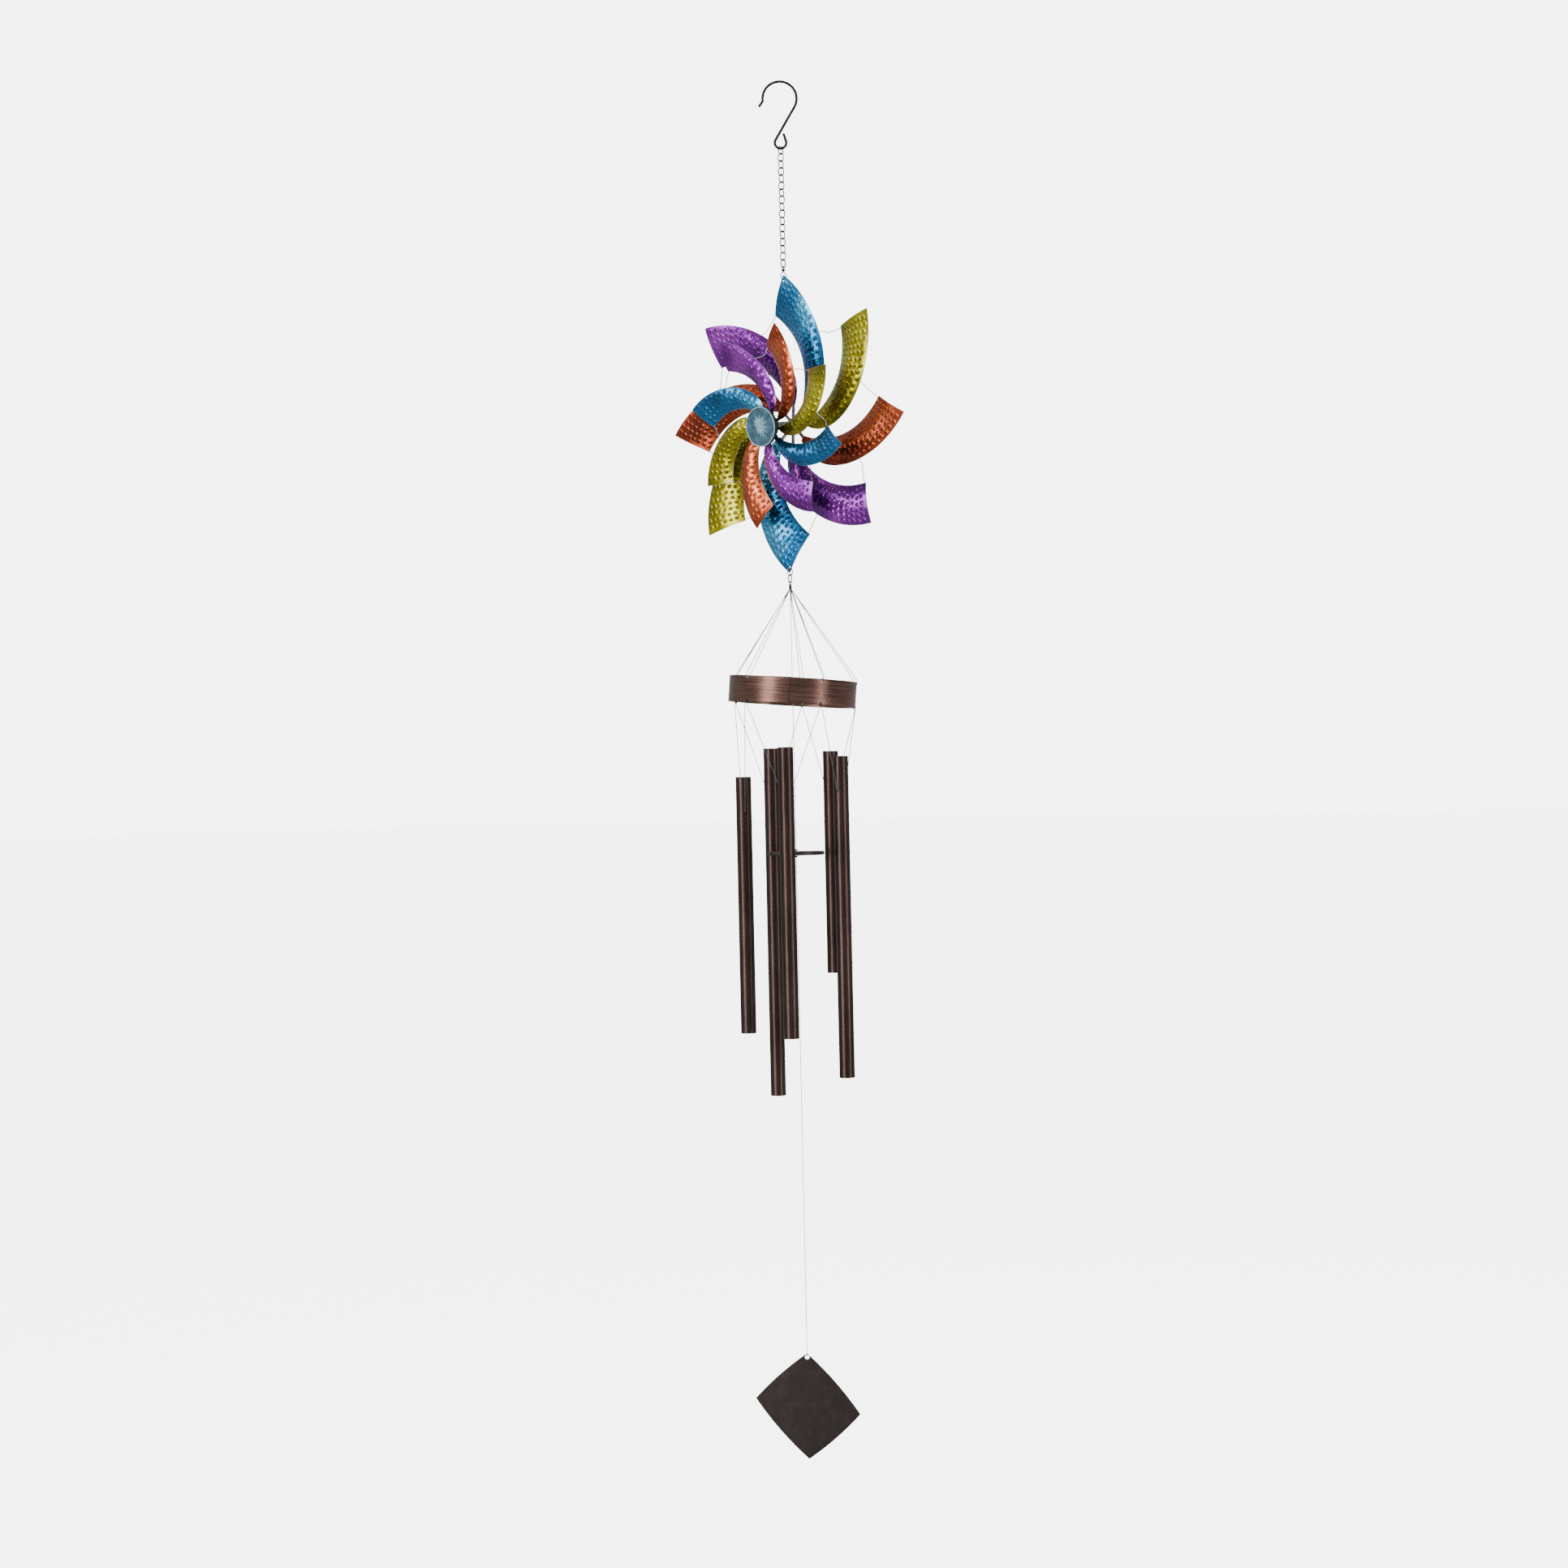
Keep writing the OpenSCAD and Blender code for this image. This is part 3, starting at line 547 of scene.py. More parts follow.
def rounded(points, radius, steps=5):
    """The same points with each corner turned into a short smooth bend."""
    out = [Vector(points[0])]
    for a, b, c in zip(points, points[1:], points[2:]):
        a, b, c = Vector(a), Vector(b), Vector(c)
        into, out_of = (b - a), (c - b)
        cut = min(radius, into.length * 0.45, out_of.length * 0.45)
        p, q = b - into.normalized() * cut, b + out_of.normalized() * cut
        for i in range(steps + 1):
            t = i / steps
            out.append(p * (1 - t) ** 2 + b * 2 * t * (1 - t) + q * t * t)
    out.append(Vector(points[-1]))
    return out


def mm(*xyz):
    """Millimetres to metres."""
    return Vector(xyz) * MM


def polar(r, turn, z):
    """A point at a radius and height in millimetres and a turn in degrees, in metres."""
    return Vector((r * cos(radians(turn)), r * sin(radians(turn)), z)) * MM


def spun(profile, steps, closed=True):
    """A bmesh turned round Z from a profile of (radius, height), in millimetres."""
    bm = bmesh.new()
    line = [bm.verts.new((r, 0, z)) for r, z in profile]
    edges = [bm.edges.new(pair) for pair in zip(line, line[1:] + line[:closed])]
    bmesh.ops.spin(bm, geom=line + edges, cent=(0, 0, 0), axis=(0, 0, 1), angle=2 * pi, steps=steps, use_merge=True)
    bmesh.ops.remove_doubles(bm, verts=bm.verts, dist=1e-4)
    bmesh.ops.recalc_face_normals(bm, faces=bm.faces)
    return bm


def taut_line(name, path, material, body, node=None):
    """A nylon line along a path, in metres."""
    obj = wire_curve(name, [path], LINE_D * MM, material)
    declare(obj, body, node)


# ---- blades ----
def bezier(points, t):
    """A point on a flat cubic curve."""
    weights = ((1 - t) ** 3, 3 * t * (1 - t) ** 2, 3 * t * t * (1 - t), t ** 3)
    return (sum(w * p[0] for w, p in zip(weights, points)), sum(w * p[1] for w, p in zip(weights, points)))


def ease(t):
    """A smooth step from 0 to 1."""
    t = min(1.0, max(0.0, t))
    return t * t * (3 - 2 * t)


def blade_middle(radius, s, t):
    """A point on the middle of a blade's sheet, in millimetres; s runs out along it and t across it."""
    outer, inner = bezier(OUTER_EDGE, s), bezier(INNER_EDGE, s)
    k = ease((s - ROOT_FLAT) / (1 - ROOT_FLAT))
    rise = (-HUB_BACK * (1 - k) - PITCH_BACK * t * k
            + CUP * 4 * t * (1 - t) * ease(s / 0.4) * (1 - 0.55 * ease((s - 0.5) / 0.5)))
    return Vector(((1 - t) * outer[0] + t * inner[0], (1 - t) * outer[1] + t * inner[1], rise)) * radius


def run_table(radius, count=160):
    """Distance along a blade's middle line at even steps of s."""
    points = [blade_middle(radius, i / count, 0.5) for i in range(count + 1)]
    runs = [0.0]
    for a, b in zip(points, points[1:]):
        runs.append(runs[-1] + (b - a).length)
    return runs


def share_at(runs, distance):
    """The s at which a blade's middle line has run that far."""
    for i, (a, b) in enumerate(zip(runs, runs[1:])):
        if distance <= b:
            return (i + (distance - a) / (b - a)) / (len(runs) - 1)
    return 1.0


# the hammering, in millimetres: where its rows and columns start, how far a blow strays, the plain strips at
# the start and end of each, the strip worn bare and the one kept flat
FIRST_ROW, FIRST_COLUMN, STRAY = 3.2, 3.0, 0.35
PLAIN_START, PLAIN_END = 2.0, 1.6
WORN_EDGE, FLAT_EDGE = 1.4, 6.0
# how closely the sheet's waves follow each other, and their height in millimetres
WAVES = ((0.07, 0.5), (0.2, 0.16))


def hammered_blade(name, radius, place, number, foil, settings, drilled):
    """A blade of lacquered sheet, cupped and pitched, with rows of round dimples hammered into it."""
    runs = run_table(radius)
    long = runs[-1]
    widest = max((blade_middle(radius, i / 20, 0) - blade_middle(radius, i / 20, 1)).length for i in range(21))
    rows, columns = round(long / settings.mesh_step), round(widest / settings.mesh_step)
    bm = bmesh.new()
    bmesh.ops.create_grid(bm, x_segments=columns, y_segments=rows, size=0.5, calc_uvs=True)
    dimple = bm.verts.layers.float.new("dimple")
    edge = bm.verts.layers.float.new("edge")
    pitch, spot_r = settings.dimple_pitch, settings.dimple_width / 2
    seed = Vector((number * 7.3, radius, 0))
    shares = {}
    noise.seed_set(1)  # without a seed noise_vector follows the clock
    for vert in bm.verts:
        along, t = (vert.co.y + 0.5) * long, vert.co.x + 0.5
        key = round(along, 4)
        if key not in shares:
            s = share_at(runs, along)
            shares[key] = (s, (blade_middle(radius, s, 0) - blade_middle(radius, s, 1)).length)
        s, width = shares[key]
        across = t * width
        point = blade_middle(radius, s, t)
        row = round((along - FIRST_ROW) / pitch)
        shift = FIRST_COLUMN + 0.25 * pitch * (row % 2)
        column = round((across - shift) / pitch)
        jog = noise.noise_vector(Vector((row * 1.7, column * 2.3, number * 3.1))) * STRAY
        centre_u, centre_v = row * pitch + FIRST_ROW + jog.x, column * pitch + shift + jog.y
        inside = (PLAIN_START < centre_v < width - PLAIN_END and PLAIN_START < centre_u < long - PLAIN_END)
        away = hypot(along - centre_u, across - centre_v) / spot_r
        bulge = (1 - away * away) ** 2 if inside and away < 1 else 0.0
        vert[dimple] = bulge
        border = min(across, width - across, long - along)
        vert[edge] = max(0.0, 1 - border / WORN_EDGE)
        wobble = sum(noise.noise(point * close + seed) * height for close, height in WAVES)
        point.z += settings.dimple_depth * bulge + wobble * ease(border / FLAT_EDGE)
        vert.co = point * MM
    # the grid's x runs from the outer edge to the inner, so its faces look back until they are turned
    bmesh.ops.recalc_face_normals(bm, faces=bm.faces)
    if sum(f.normal.z for f in bm.faces) < 0:
        bmesh.ops.reverse_faces(bm, faces=bm.faces)
    turned = place @ Matrix.Rotation(radians(-45 * (number - 1)), 4, "Z")
    bmesh.ops.transform(bm, matrix=turned, verts=bm.verts)
    obj = object_from(bm, name, [foil, foil + " edge"])
    wall = obj.modifiers.new("sheet", "SOLIDIFY")
    wall.thickness, wall.offset, wall.material_offset_rim = SHEET * MM, 0, 1
    wall.use_even_offset = True
    apply_modifiers(obj)
    if drilled:
        cutter = bmesh.new()
        at = turned @ mm(0, radius - TIP_HOLE_IN, 0)
        peg(cutter, at, turned.to_3x3() @ Vector((0, 0, 1)), TIP_HOLE_D * MM, radius / 3 * MM)
        cut_with(obj, cutter)
    return obj


BACK_FOILS = ("blue", "gold", "copper", "purple")
FRONT_FOILS = ("copper", "gold", "blue", "purple")


class WIND_OT_back_blades(bpy.types.Operator):
    """Make the eight hammered blades of the back wheel"""

    bl_idname = "wind.back_blades"
    bl_label = "Back Blades"

    def execute(self, context):
        for number in range(1, BLADES + 1):
            foil = BACK_FOILS[(number - 1) % 4]
            obj = hammered_blade(f"back_blade_{number}_{foil}", BACK_R, ON_BACK_WHEEL, number, foil,
                                 context.scene.wind_foil, number % 4 == 1)
            declare(obj, "wheel", f"back_blade_{number}")
        return {"FINISHED"}


class WIND_OT_front_blades(bpy.types.Operator):
    """Make the eight hammered blades of the front wheel"""

    bl_idname = "wind.front_blades"
    bl_label = "Front Blades"

    def execute(self, context):
        place = ON_FRONT_WHEEL @ Matrix.Rotation(radians(-FRONT_TURN), 4, "Z")
        for number in range(1, BLADES + 1):
            foil = FRONT_FOILS[(number - 1) % 4]
            obj = hammered_blade(f"front_blade_{number}_{foil}", FRONT_R, place, number, foil,
                                 context.scene.wind_foil, False)
            declare(obj, "rotor", f"front_blade_{number}")
        return {"FINISHED"}


# share of the way from the edge to the corner, and how far the bend stands towards the hub, in mm
BACK_BENDS = ((0.5, 3.4), (0.5, 0.3), (0.2, -2.0), (0.45, 0.4), (0.5, 0.5), (0.3, 1.2), (0.5, 0.2), (0.25, 3.2))
FRONT_BENDS = ((0.4, 0.4), (0.55, -3.0), (0.5, 0.3), (0.4, 0.5), (0.5, 0.3), (0.5, 0.6), (0.5, 0.2), (0.7, 4.0))


def tie_lines(radius, bends):
    """Each wire runs from a blade's outer edge, through its bend, to the next blade's inner corner."""
    out = []
    for number, (share, inward) in enumerate(bends):
        start = blade_middle(radius, 0.60, 0.03)
        corner = Matrix.Rotation(radians(-45), 3, "Z") @ blade_middle(radius, 0.985, 0.97)
        bend = start.lerp(corner, share)
        bend -= Vector((bend.x, bend.y, 0)).normalized() * inward
        turn = Matrix.Rotation(radians(-45 * number), 3, "Z")
        out.append([turn @ p * MM for p in rounded([start, bend, corner], 2.2)])
    return out


class WIND_OT_ties(bpy.types.Operator):
    """Bend the wires that tie each blade to the next"""

    bl_idname = "wind.ties"
    bl_label = "Tie Wires"

    def execute(self, context):
        width = context.scene.wind_wire.tie_width * MM
        front = ON_FRONT_WHEEL @ Matrix.Rotation(radians(-FRONT_TURN), 4, "Z")
        for node, body, radius, bends, place in (
            ("back_ties", "wheel", BACK_R, BACK_BENDS, ON_BACK_WHEEL),
            ("front_ties", "rotor", FRONT_R, FRONT_BENDS, front),
        ):
            lines = [[place @ p for p in line] for line in tie_lines(radius, bends)]
            obj = wire_mesh(node + "_bent", lines, width * 0.8, "nickel")
            declare(obj, body, node)
        return {"FINISHED"}


class WIND_OT_ironwork(bpy.types.Operator):
    """Finish the hook, chain, swivel, rings and the wheel's axle parts"""

    bl_idname = "wind.ironwork"
    bl_label = "Hook, Chain and Axle"

    def execute(self, context):
        parts = [("s_hook", "hook", "black", "hook_wire")]
        parts += [(f"chain_{i}", f"chain_{i}", "black", "chain") for i in range(1, 7)]
        parts += [
            ("chime_link", "chime_link", "black", "chain"),
            ("swivel_barrel", "swivel_top", "black", "chain"),
            ("swivel_eye", "swivel_top", "nickel", "silver_wire"),
            ("swivel_ring", "swivel_bottom", "nickel", "silver_wire"),
            ("lower_ring", "lower_ring", "nickel", "silver_wire"),
            ("back_hub", "wheel", "nickel", "hub_plate"),
            ("axle_bolt", "wheel", "nickel", "hub_plate"),
            ("axle_nut", "wheel", "nickel", "hub_plate"),
            ("spacer_tube", "wheel", "nickel", "hub_plate"),
            ("thrust_washer", "wheel", "nickel", "hub_plate"),
            ("end_nut", "wheel", "nickel", "hub_plate"),
            ("front_hub", "rotor", "nickel", "hub_plate"),
            ("bushing", "rotor", "brass", "brass_bush"),
        ]
        for node, body, finish, slot_name in parts:
            smooth_copy(node, node + "_finished", body, finish)
        return {"FINISHED"}


# ---- medallion ----
# direction, length and width of each leaf of the pattern, in degrees and millimetres
LEAVES = (
    (-12, 10.5, 2.3), (-36, 11.2, 2.3), (-60, 11.0, 2.2), (-84, 9.6, 2.1), (-108, 8.0, 2.0), (-134, 6.4, 2.0),
    (-164, 5.6, 1.9), (164, 6.6, 1.9), (138, 9.4, 2.2), (112, 10.4, 2.2), (84, 8.6, 2.6), (56, 9.2, 3.4),
    (22, 9.0, 3.2),
)
BURST = Vector((-1.6, 0.6))


def medal_relief(x, y):
    """Height of the medallion's pattern there, from 0 to 1."""
    away = hypot(x, y)
    height = 0.0
    if away > MEDAL_R - 2.6:
        return 0.35 * ease((away - MEDAL_R + 2.6) / 0.3) * ease((MEDAL_R - 2.1 - away) / 0.3)
    dx, dy = x - BURST.x, y - BURST.y
    for turn, long, wide in LEAVES:
        u = dx * cos(radians(turn)) + dy * sin(radians(turn))
        v = dy * cos(radians(turn)) - dx * sin(radians(turn))
        if 1.2 < u < long:
            share = (u - 1.2) / (long - 1.2)
            half = wide / 2 * sin(pi * share ** 0.75) + 0.05
            if abs(v) < half:
                bulge = (1 - (v / half) ** 2) ** 0.5
                vein = 0.45 * max(0.0, 1 - abs(v) / 0.28)
                height = max(height, (0.8 - 0.25 * share) * bulge - vein)
    centre = hypot(dx, dy)
    if centre < 1.7:
        height = max(height, (1 - (centre / 1.7) ** 2) ** 0.5)
    return height + 0.06 * noise.noise(Vector((x, y, 3)) * 0.7)


class WIND_OT_medallion(bpy.types.Operator):
    """Cast the medallion, with its raised rim and leaf pattern"""

    bl_idname = "wind.medallion"
    bl_label = "Medallion"

    def execute(self, context):
        settings = context.scene.wind_medal
        low, rim, thick = settings.relief, 1.5, 3.5
        face = MEDAL_FACE - low
        back = MEDAL_FACE - thick
        profile = [(i * (MEDAL_R - rim) / 44, face) for i in range(45)]
        profile += [(MEDAL_R - rim + 0.15, face + 0.45 * low), (MEDAL_R - rim + 0.4, MEDAL_FACE - 0.08),
                    (MEDAL_R - rim / 2, MEDAL_FACE), (MEDAL_R - 0.3, MEDAL_FACE - 0.1), (MEDAL_R, MEDAL_FACE - 0.5),
                    (MEDAL_R, MEDAL_FACE - 1.2), (MEDAL_R - 0.25, MEDAL_FACE - 1.5), (MEDAL_R, MEDAL_FACE - 1.9),
                    (MEDAL_R, back + 0.3), (MEDAL_R - 0.3, back), (9.8, back), (9.5, back - 0.3),
                    (9.5, 26.7), (9.4, 26.59), (6.1, 26.59), (6.0, 26.7), (6.0, back + 0.4), (0, back + 0.4)]
        bm = spun(profile, 240, closed=False)
        # the relief attribute also places painted light: the pale rubbed colour with a painted highlight on the
        # raised lines and the rim's top, and painted shade in the darkest colour on the rim's sides, the back and the
        # stem
        layer = bm.verts.layers.float.new("relief")
        for vert in bm.verts:
            x, y, z = vert.co
            away = hypot(x, y)
            if abs(z - face) < 1e-3 and away < MEDAL_R - rim + 0.01:
                height = medal_relief(x, y)
                vert.co.z += low * height
                vert[layer] = 0.12 + 0.75 * height
            else:
                vert[layer] = 0.75 if z > MEDAL_FACE - 0.3 else -0.25
        bmesh.ops.transform(bm, matrix=ON_AXLE @ Matrix.Scale(MM, 4), verts=bm.verts)
        obj = object_from(bm, "medallion_cast", ["medal"], 50)
        declare(obj, "rotor", "medallion")
        return {"FINISHED"}


# ---- chime ----
def hole_turn(i):
    """Where the band's hole stands, in degrees."""
    return BAND_TURN + i * 360 / TUBES


def on_band(r, turn, z):
    """A point given round the tilted band, in metres."""
    return ON_BAND @ polar(r, turn, z)


SEAM_TURN = -52.9
LAP = 6.0


class WIND_OT_band(bpy.types.Operator):
    """Roll the band from a strip, with a lapped seam and drilled holes"""

    bl_idname = "wind.band"
    bl_label = "Band"

    def execute(self, context):
        wavy = context.scene.wind_chime.waviness
        bm = bmesh.new()
        bmesh.ops.create_grid(bm, x_segments=300, y_segments=10, size=0.5, calc_uvs=True)
        uv = bm.loops.layers.uv.verify()
        around = {}
        for vert in bm.verts:
            turn = SEAM_TURN - (0.5 - vert.co.x) * (360 + LAP)
            up = vert.co.y
            past = turn - (SEAM_TURN - 360 - LAP)
            tuck = 0.85 * (1 - ease((past - LAP) / 14))
            loop = Vector((cos(radians(turn)), sin(radians(turn)), 0.3 * up))
            r = BAND_R - BAND_T / 2 - 0.1 - tuck + 0.12 * noise.noise(loop * 2.2)
            z = up * (BAND_H - 0.7) + wavy * 0.8 * noise.noise(loop * 3.1 + Vector((5, 0, up * 3)))
            around[vert.index] = (radians(turn) * BAND_R * MM, z * MM)
            vert.co = polar(r, turn, z)
        for face in bm.faces:
            for loop in face.loops:
                loop[uv].uv = around[loop.vert.index]
        bmesh.ops.recalc_face_normals(bm, faces=bm.faces)
        if sum(f.normal.dot(f.calc_center_median()) for f in bm.faces) < 0:
            bmesh.ops.reverse_faces(bm, faces=bm.faces)
        bmesh.ops.transform(bm, matrix=ON_BAND, verts=bm.verts)
        obj = object_from(bm, "chime_band_rolled", ["band"])
        wall = obj.modifiers.new("sheet", "SOLIDIFY")
        wall.thickness, wall.offset = BAND_T * MM, 0
        soft = obj.modifiers.new("edges", "BEVEL")
        soft.width, soft.segments, soft.limit_method, soft.angle_limit = 0.15 * MM, 2, "ANGLE", radians(50)
        apply_modifiers(obj)
        cutter = bmesh.new()
        for i in range(TUBES):
            for z in (BAND_H / 2 - HOLE_IN, HOLE_IN - BAND_H / 2):
                out = on_band(BAND_R + 3, hole_turn(i), z) - on_band(BAND_R - 3, hole_turn(i), z)
                peg(cutter, on_band(BAND_R, hole_turn(i), z), out, 1.4 * MM, 5 * MM)
        cut_with(obj, cutter)
        declare(obj, "chime", "chime_band")
        return {"FINISHED"}


class WIND_OT_whipping(bpy.types.Operator):
    """Wind the thread round the gathered lines, with its loop through the link"""

    bl_idname = "wind.whipping"
    bl_label = "Whipping"

    def execute(self, context):
        thread, turns, steps, link_turn = 0.5, 8, 20, 67
        coil_r, coil_h, coil_z, core_r, core_h, loop_z = 1.25, 3.4, 0.3, 0.85, 4.4, 4.2
        coil = [polar(coil_r - thread / 2, 360 * i / steps, APEX_Z + coil_z + coil_h * i / steps / turns)
                for i in range(turns * steps + 1)]
        loop_r = (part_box("line_whipping")[1][2] / MM - APEX_Z - loop_z - LINE_D / 2) / 2
        centre = mm(0, 0, APEX_Z + loop_z + loop_r)
        side, up = polar(1, link_turn, 0) / MM, Vector((0, 0, 1))
        loop = [centre + (side * cos(a) + up * sin(a)) * loop_r * MM
                for a in (radians(-90 + 360 * i / 32) for i in range(32))]
        coiled = wire_mesh("line_whipping_wound", [coil], thread * MM, "thread", sides=3)
        declare(coiled, "chime", "line_whipping")
        bight = wire_mesh("whipping_loop", [loop], LINE_D * MM, "thread", cyclic=True)
        declare(bight, "chime")
        bm = bmesh.new()
        bmesh.ops.create_cone(bm, cap_ends=True, segments=32, radius1=core_r * MM, radius2=core_r * MM,
                              depth=core_h * MM, matrix=Matrix.Translation(mm(0, 0, APEX_Z + core_h / 2)))
        rims = [e for e in bm.edges if abs(e.verts[0].co.z - e.verts[1].co.z) < 0.1 * MM]
        bmesh.ops.bevel(bm, geom=rims, offset=0.2 * MM, segments=3, profile=0.5, affect="EDGES", material=-1,
                        clamp_overlap=True)
        core = object_from(bm, "whipping_core", ["thread"])
        declare(core, "chime")
        return {"FINISHED"}


class WIND_OT_hanger_lines(bpy.types.Operator):
    """Run a doubled line to each upper hole, and a loop through each lower one"""

    bl_idname = "wind.hanger_lines"
    bl_label = "Hanger Lines"

    def execute(self, context):
        start_r = 0.75
        for i in range(TUBES):
            a = hole_turn(i)
            z = BAND_H / 2 - HOLE_IN
            mid = BAND_R - BAND_T / 2
            points = [
                polar(start_r, a - 10, APEX_Z), on_band(mid + 1.1, a, BAND_H / 2 + 1.5),
                on_band(mid + 1.2, a, z + 0.2), on_band(mid, a, z - 0.25), on_band(mid - 1.2, a + 0.6, z + 0.2),
                on_band(mid - 1.4, a + 3, BAND_H / 2 + 1.5), polar(start_r, a + 26, APEX_Z),
            ]
            taut_line(f"hanger_line_{i + 1}", rounded(points, 1.0 * MM), "line", "chime",
                      None if i else "hanger_lines")
        loops = []
        for i in range(TUBES):
            a, mid, z = hole_turn(i), BAND_R - BAND_T / 2, HOLE_IN - BAND_H / 2
            for side in (-0.45, 0.45):
                corners = [(mid + 0.85, z - 0.15), (mid + 0.75, -BAND_H / 2 - 0.35), (mid - 0.75, -BAND_H / 2 - 0.35),
                           (mid - 0.85, z - 0.15), (mid, z + 0.05)]
                loop = []
                for k, (r, up) in enumerate(corners):
                    r0, up0 = corners[k - 1]
                    r2, up2 = corners[(k + 1) % len(corners)]
                    for t in (0.0, 0.35, 0.65):
                        first = Vector((r0 + r, up0 + up)) / 2
                        last = Vector((r2 + r, up2 + up)) / 2
                        p = first * (1 - t) ** 2 + Vector((r, up)) * 2 * t * (1 - t) + last * t * t
                        loop.append(on_band(p.x, a + side * (1.2 if up < z - 1 else 0.4), p.y))
                loops.append(loop)
        knots = wire_mesh("edge_loops", loops, 0.75 * MM, "thread", cyclic=True)
        declare(knots, "chime")
        return {"FINISHED"}


def tube_turn(i):
    """Where the tube hangs, in degrees."""
    return hole_turn(i) + 180 / TUBES


class WIND_OT_tubes(bpy.types.Operator):
    """Cut the five chime tubes and hang each on its line"""

    bl_idname = "wind.tubes"
    bl_label = "Tubes"

    def execute(self, context):
        for i in range(TUBES):
            low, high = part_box(f"tube_{i + 1}")
            top, bottom = high[2], low[2]
            at = Vector(((low[0] + high[0]) / 2, (low[1] + high[1]) / 2, 0))
            soft = 0.18
            profile = [
                (TUBE_R - TUBE_WALL, soft), (TUBE_R - TUBE_WALL + soft, 0), (TUBE_R - soft, 0), (TUBE_R, soft)]
            long = (top - bottom) / MM
            profile += [(TUBE_R, long * k / 24) for k in range(1, 24)]
            profile += [(TUBE_R, long - soft), (TUBE_R - soft, long), (TUBE_R - TUBE_WALL + soft, long),
                        (TUBE_R - TUBE_WALL, long - soft)]
            bm = spun(profile, 72)
            bmesh.ops.transform(bm, matrix=Matrix.Translation(at + Vector((0, 0, bottom))) @ Matrix.Scale(MM, 4),
                                verts=bm.verts)
            obj = object_from(bm, f"tube_{i + 1}_drawn", ["tube"], 30)
            cutter = bmesh.new()
            across = Vector((-sin(radians(tube_turn(i))), cos(radians(tube_turn(i))), 0))
            hole = at + Vector((0, 0, top - TUBE_HOLE_IN * MM))
            peg(cutter, hole, across, 1.6 * MM, 20 * MM)
            cut_with(obj, cutter, 30)
            declare(obj, f"tube_{i + 1}", f"tube_{i + 1}")
            self.hang(i, hole, across)
        return {"FINISHED"}

    def hang(self, i, hole, across):
        """The line from the band on one side, through the tube and back up on the other."""
        points = []
        for side in (-1, 1):
            a = tube_turn(i) + side * (180 / TUBES - 0.8)
            points.append([on_band(BAND_R + LINE_D / 2 + 0.05, a, -BAND_H / 2 - LINE_D),
                           hole + across * side * (TUBE_R + 0.45) * MM,
                           hole + across * side * (TUBE_R - TUBE_WALL - 0.6) * MM - Vector((0, 0, 0.25 * MM))])
        taut_line(f"tube_line_{i + 1}", rounded(points[0] + points[1][::-1], 0.7 * MM), "line",
                  f"tube_{i + 1}", f"tube_lines_{i + 1}")


class WIND_OT_striker(bpy.types.Operator):
    """Turn the striker and hang it and the sail's line"""

    bl_idname = "wind.striker"
    bl_label = "Striker and Lines"

    def execute(self, context):
        low, high = (Vector(v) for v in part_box("striker"))
        r, thick = (high.x - low.x) / 2 / MM, (high.z - low.z) / MM
        bore, flat, soft = 0.8, 0.5, 0.15
        profile = [(bore, 0), (r - flat, 0), (r - soft, soft), (r, flat), (r, thick - flat),
                   (r - soft, thick - soft), (r - flat, thick), (bore, thick)]
        bm = spun(profile, 128)
        bmesh.ops.transform(bm, matrix=Matrix.Translation((0, 0, low.z)) @ Matrix.Scale(MM, 4), verts=bm.verts)
        disc = object_from(bm, "striker_turned", ["sail"])
        declare(disc, "striker", "striker")
        starts = []
        for node, body, name in (("centre_line_top", "striker_pivot", "centre_line_start"),
                                 ("sail_line_top", "sail_pivot", "sail_line_start")):
            a, b = (Vector(v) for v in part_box(node))
            ends = [Vector((0, 0, b.z)), Vector((0, 0, a.z - 0.1 * MM))]
            short = wire_mesh(name, [ends], LINE_D * MM, "pale line")
            declare(short, body, node)
            starts.append(short)
        loop = smooth_copy("sail_loop", "sail_loop_tied", "sail_loop", "pale line")
        for node, body, name, tied in (("striker_line", "striker", "centre_line", starts[:1]),
                                       ("sail_line", "sail_line", "sail_cord", [starts[1], loop])):
            a, b = (Vector(v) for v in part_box(node))
            points = [Vector((0, 0, b.z + (a.z - b.z) * k / 16)) for k in range(17)]
            taut_line(name, points, "pale line", body, node)
        lines = []
        steps, strands, knot_r, knot_h, off = 20, 3, 1.0, 0.45, 1.3
        for centre in (high.z / MM + off, low.z / MM - off):
            for j in range(strands):
                turns = ((u, 2 * u + 2 * j) for u in (2 * pi * k / steps for k in range(steps)))
                lines.append([mm(knot_r * cos(u) * (1 + 0.25 * cos(3 * v)), knot_r * sin(u), centre + knot_h * sin(v))
                              for u, v in turns])
        knots = wire_mesh("striker_knots_tied", lines, 0.75 * MM, "thread", cyclic=True, sides=3)
        declare(knots, "striker", "striker_knots")
        return {"FINISHED"}


